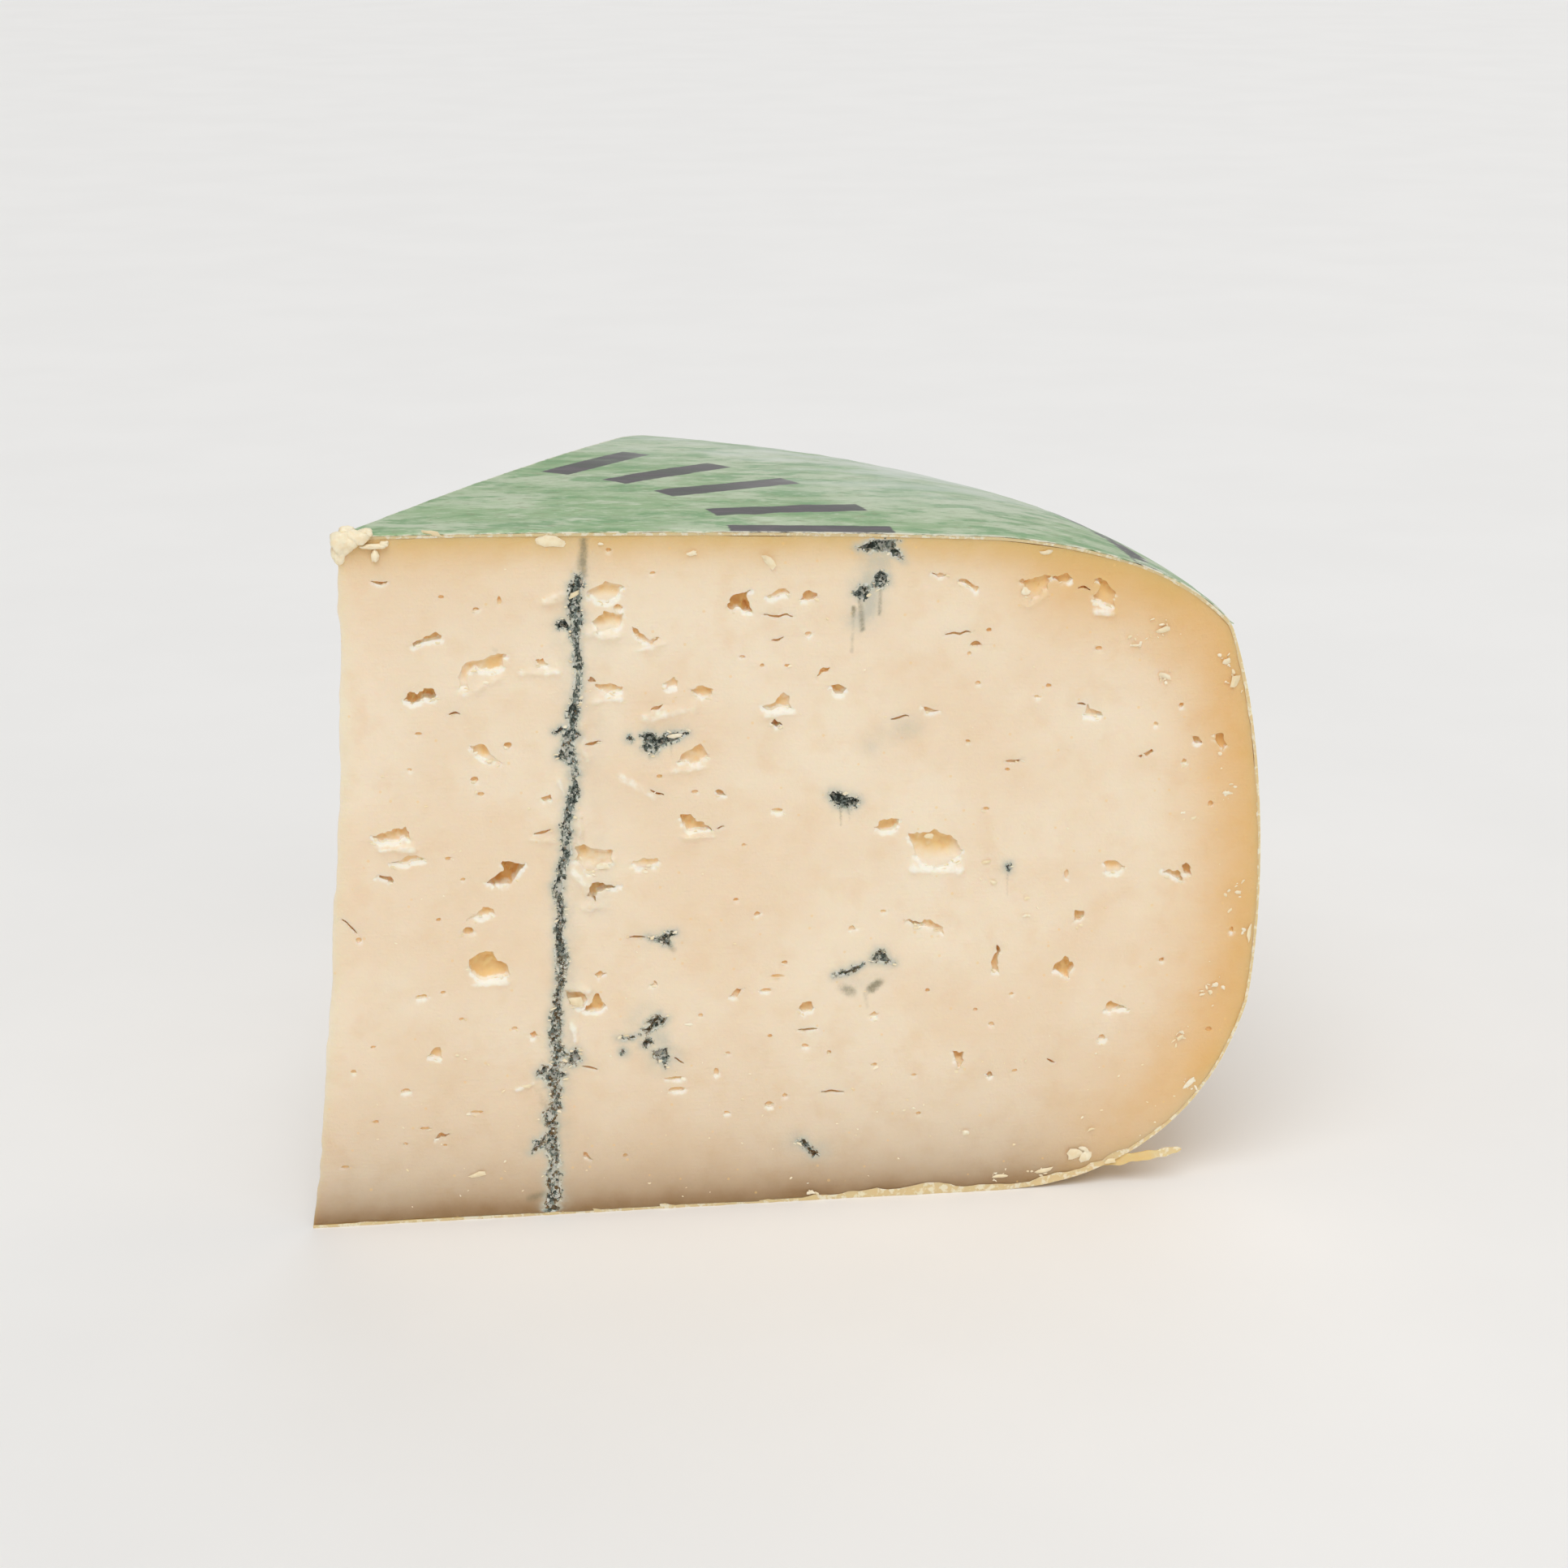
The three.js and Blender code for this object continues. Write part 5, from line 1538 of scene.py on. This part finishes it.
def all_flakes():
    """The listed chips, small ones round those at the rim and the foot, shreds on both
    cuts, and specks all over the front cut."""
    random = np.random.default_rng(21)
    listed = np.array(FLAKES, float)
    groups = [(
        np.stack([listed[:, 0], 0 * listed[:, 0] - 0.1, listed[:, 1]], 1), *SIDES["front"],
        listed[:, 2], listed[:, 3], 0.2 + 0.06 * listed[:, 3],
        np.radians(listed[:, 4]), np.radians(listed[:, 5]),
    )]
    around = np.repeat(listed[(listed[:, 0] > 104) | (listed[:, 1] < 3)], 7, axis=0)
    count = len(around)
    place = around[:, :2] + random.normal(0, 0.9, (count, 2))
    gap, _, _, inside = to_outline(place, front_edge)
    kept = inside & (gap > 0.4)
    long = random.uniform(0.25, 1.0, count)[kept]
    groups.append((
        np.stack([place[kept, 0], 0 * long - 0.04, place[kept, 1]], 1), *SIDES["front"],
        long, long * random.uniform(0.3, 0.8, len(long)), 0.1 + 0.1 * long,
        random.uniform(-1.5, 1.5, len(long)), random.uniform(-0.2, 0.5, len(long)),
    ))
    for side, cut in (("front", front), ("back", back)):
        count = SHRED_COUNTS[side]
        picked = strewn(cut, count, random)
        long = random.uniform(0.25, 1.0, count)
        groups.append((
            on_cut(side, cut.flat[picked], cut.depth[picked] - 0.03), *SIDES[side],
            long, long * random.uniform(0.3, 0.7, count), random.uniform(0.08, 0.2, count),
            random.uniform(-0.6, 0.6, count), random.uniform(-0.3, 0.8, count),
        ))
    x, z = random.uniform(2, 122, SPECK_COUNT), random.uniform(2, 94, SPECK_COUNT)
    z = np.where(random.random(SPECK_COUNT) < 0.4, z * 0.25, z)
    gap, _, _, inside = to_outline(np.stack([x, z], 1), front_edge)
    kept = inside & (gap > 0.5)
    x, z = x[kept], z[kept]
    long = random.uniform(0.2, 0.6, len(x))
    groups.append((
        np.stack([x, 0 * x - 0.02, z], 1), *SIDES["front"], long, long * 0.6, 0.3 * long,
        random.uniform(-1, 1, len(x)), random.uniform(-0.3, 0.5, len(x)),
    ))
    points, faces, tones = [], [], []
    for group in groups:
        own_points, own_faces = flakes(*group, random)
        faces.append(own_faces + sum(len(p) for p in points))
        points.append(own_points)
        tones.append(np.repeat(random.random(len(group[0])), FLAKE_RINGS * FLAKE_SIDES))
    return np.concatenate(points), np.concatenate(faces), {"tone": np.concatenate(tones)}


flake_points, flake_faces, flake_marks = all_flakes()
flake_material = flake_finish()
make_piece("pale_flakes", flake_points, flake_faces, flake_material, flake_marks, 80)

# %% [markdown]
# ## Curd on the corner, and a loose strip of film
#
# The knife went in at the top corner and pushed up a soft heap of curd there. It is a few
# balls with noise on their radius, sunk into each other. At the foot a strip of film came off
# and sticks out past the rim: a ribbon carried along a curved path.

# %% Curd heap and film strip
CURD = [
    (0.6, -0.2, 96.4, 1.8, 1.2, 1.5), (2.4, -0.2, 97.1, 1.5, 1.1, 1.1),
    (-0.1, 0, 94.9, 0.9, 0.7, 1.2), (3.5, 0.1, 97.6, 1.1, 0.9, 0.6),
    (1.3, 0.3, 97.9, 1.0, 0.9, 0.7), (4.4, -0.5, 95.9, 1.9, 0.5, 0.35),
    (4.7, -0.4, 94.6, 0.45, 0.35, 0.8), (5.9, -0.5, 96.2, 0.6, 0.4, 0.4),
]


def curd_ball(x, y, z, wide, deep, tall, seed):
    """A ball on a grid of longitude and latitude, its radius changed by two sizes of noise."""
    turn, rise = np.meshgrid(
        np.linspace(0, 2 * math.pi, 25), np.linspace(-math.pi / 2, math.pi / 2, 15))
    unit = np.stack([np.cos(rise) * np.cos(turn), np.cos(rise) * np.sin(turn), np.sin(rise)], 2)
    flat = unit.reshape(-1, 3)
    swell = 1 + 0.32 * noise(flat, 0.8, seed) + 0.16 * noise(flat, 0.35, seed + 1)
    grown = unit * swell.reshape(turn.shape)[:, :, None] * np.array([wide, deep, tall])
    index = np.arange(turn.size).reshape(turn.shape)
    return (grown + np.array([x, y, z])).reshape(-1, 3), grid_faces(index)


curd_parts = [curd_ball(*ball, seed) for seed, ball in enumerate(CURD)]
curd_points = np.concatenate([points for points, _ in curd_parts])
curd_faces = np.concatenate(
    [faces + i * len(curd_parts[0][0]) for i, (_, faces) in enumerate(curd_parts)])
curd_tones = {"tone": np.full(len(curd_points), 0.45)}
make_piece("curd_heap", curd_points, curd_faces, flake_material, curd_tones, 80)

STRIP_PATH = [(103.6, 1.0, 3.4), (106, 0.2, 3.6), (108.6, -0.3, 3.9), (111.4, -0.6, 4.3),
              (114, -0.5, 4.7), (115.2, -0.3, 4.8)]
STRIP_WIDTH, STRIP_THICK = 1.15, 0.22


def strip_mesh():
    """A ribbon: across the path its width, with ragged edges, and its thickness behind it."""
    path = respace(np.array(STRIP_PATH), 0.35)
    share = np.linspace(-0.5, 0.5, 7)[None, :, None]
    taper = ramp(path[:, 0], 115.6, 114.2) * (1.5 - 0.5 * ramp(path[:, 0], 105, 110))
    reach = STRIP_WIDTH * (taper * (1 + 0.35 * noise(path, 1.2, 5)))[:, None, None]
    face = path[:, None] + share * reach * np.array([0, 0.25, 1.0])
    face[:, :, 1] += 0.12 * noise(face.reshape(-1, 3), 1.0, 6).reshape(face.shape[:2])
    pale = np.repeat(0.35 + 0.65 * ramp(path[:, 0], 110, 113), 7)
    return *slab(face, face + [0, STRIP_THICK, 0]), {"rim": np.concatenate([pale, pale])}


strip_points, strip_faces, strip_marks = strip_mesh()
make_piece("loose_film", strip_points, strip_faces, film_material, strip_marks)

# %% [markdown]
# ## Floor and light
#
# A plain pale floor goes far enough back to fill the view. One wide soft lamp hangs above and
# a little in front, as a window would stand. A weaker one fills from the camera's side, another
# lights the back, and a pale sky lights the rest.

# %% Floor, lamps and sky
FLOOR_SIZE = 6.0
SKY_STRENGTH = 0.34


def floor_finish():
    """Two near whites in soft clouds."""
    f = Finish("pale_floor", Roughness=0.7)
    colour = f.blend(f.grain(60, 3).between(0.3, 0.7), (245, 244, 242), (247, 246, 244))
    return f.wear(colour)


floor_mesh = bpy.data.meshes.new("floor")
corners = [(-1, -1), (1, -1), (1, 1), (-1, 1)]
floor_mesh.from_pydata(
    [(a * FLOOR_SIZE, b * FLOOR_SIZE, 0.0) for a, b in corners], [], [(0, 1, 2, 3)]
)
floor = bpy.data.objects.new("floor", floor_mesh)
floor.data.materials.append(floor_finish())
bpy.context.scene.collection.objects.link(floor)


def sun(name, turn, height, strength, spread):
    """A far lamp at a compass turn (0 is behind the camera) and a height, both in degrees."""
    data = bpy.data.lights.new(name, "SUN")
    data.energy, data.angle = strength, math.radians(spread)
    made = bpy.data.objects.new(name, data)
    made.rotation_euler = (math.radians(90 - height), 0, math.radians(turn))
    bpy.context.scene.collection.objects.link(made)


sun("window", -20, 58, 1.45, 45)
sun("fill", 15, 22, 0.5, 60)
sun("back_light", 150, 45, 0.5, 50)
sky = bpy.data.worlds.new("sky")
bpy.context.scene.world = sky
sky.use_nodes = True
background = sky.node_tree.nodes["Background"]
background.inputs["Color"].default_value = (1.0, 1.0, 1.0, 1.0)
background.inputs["Strength"].default_value = SKY_STRENGTH
print("floor, three lamps and a sky")
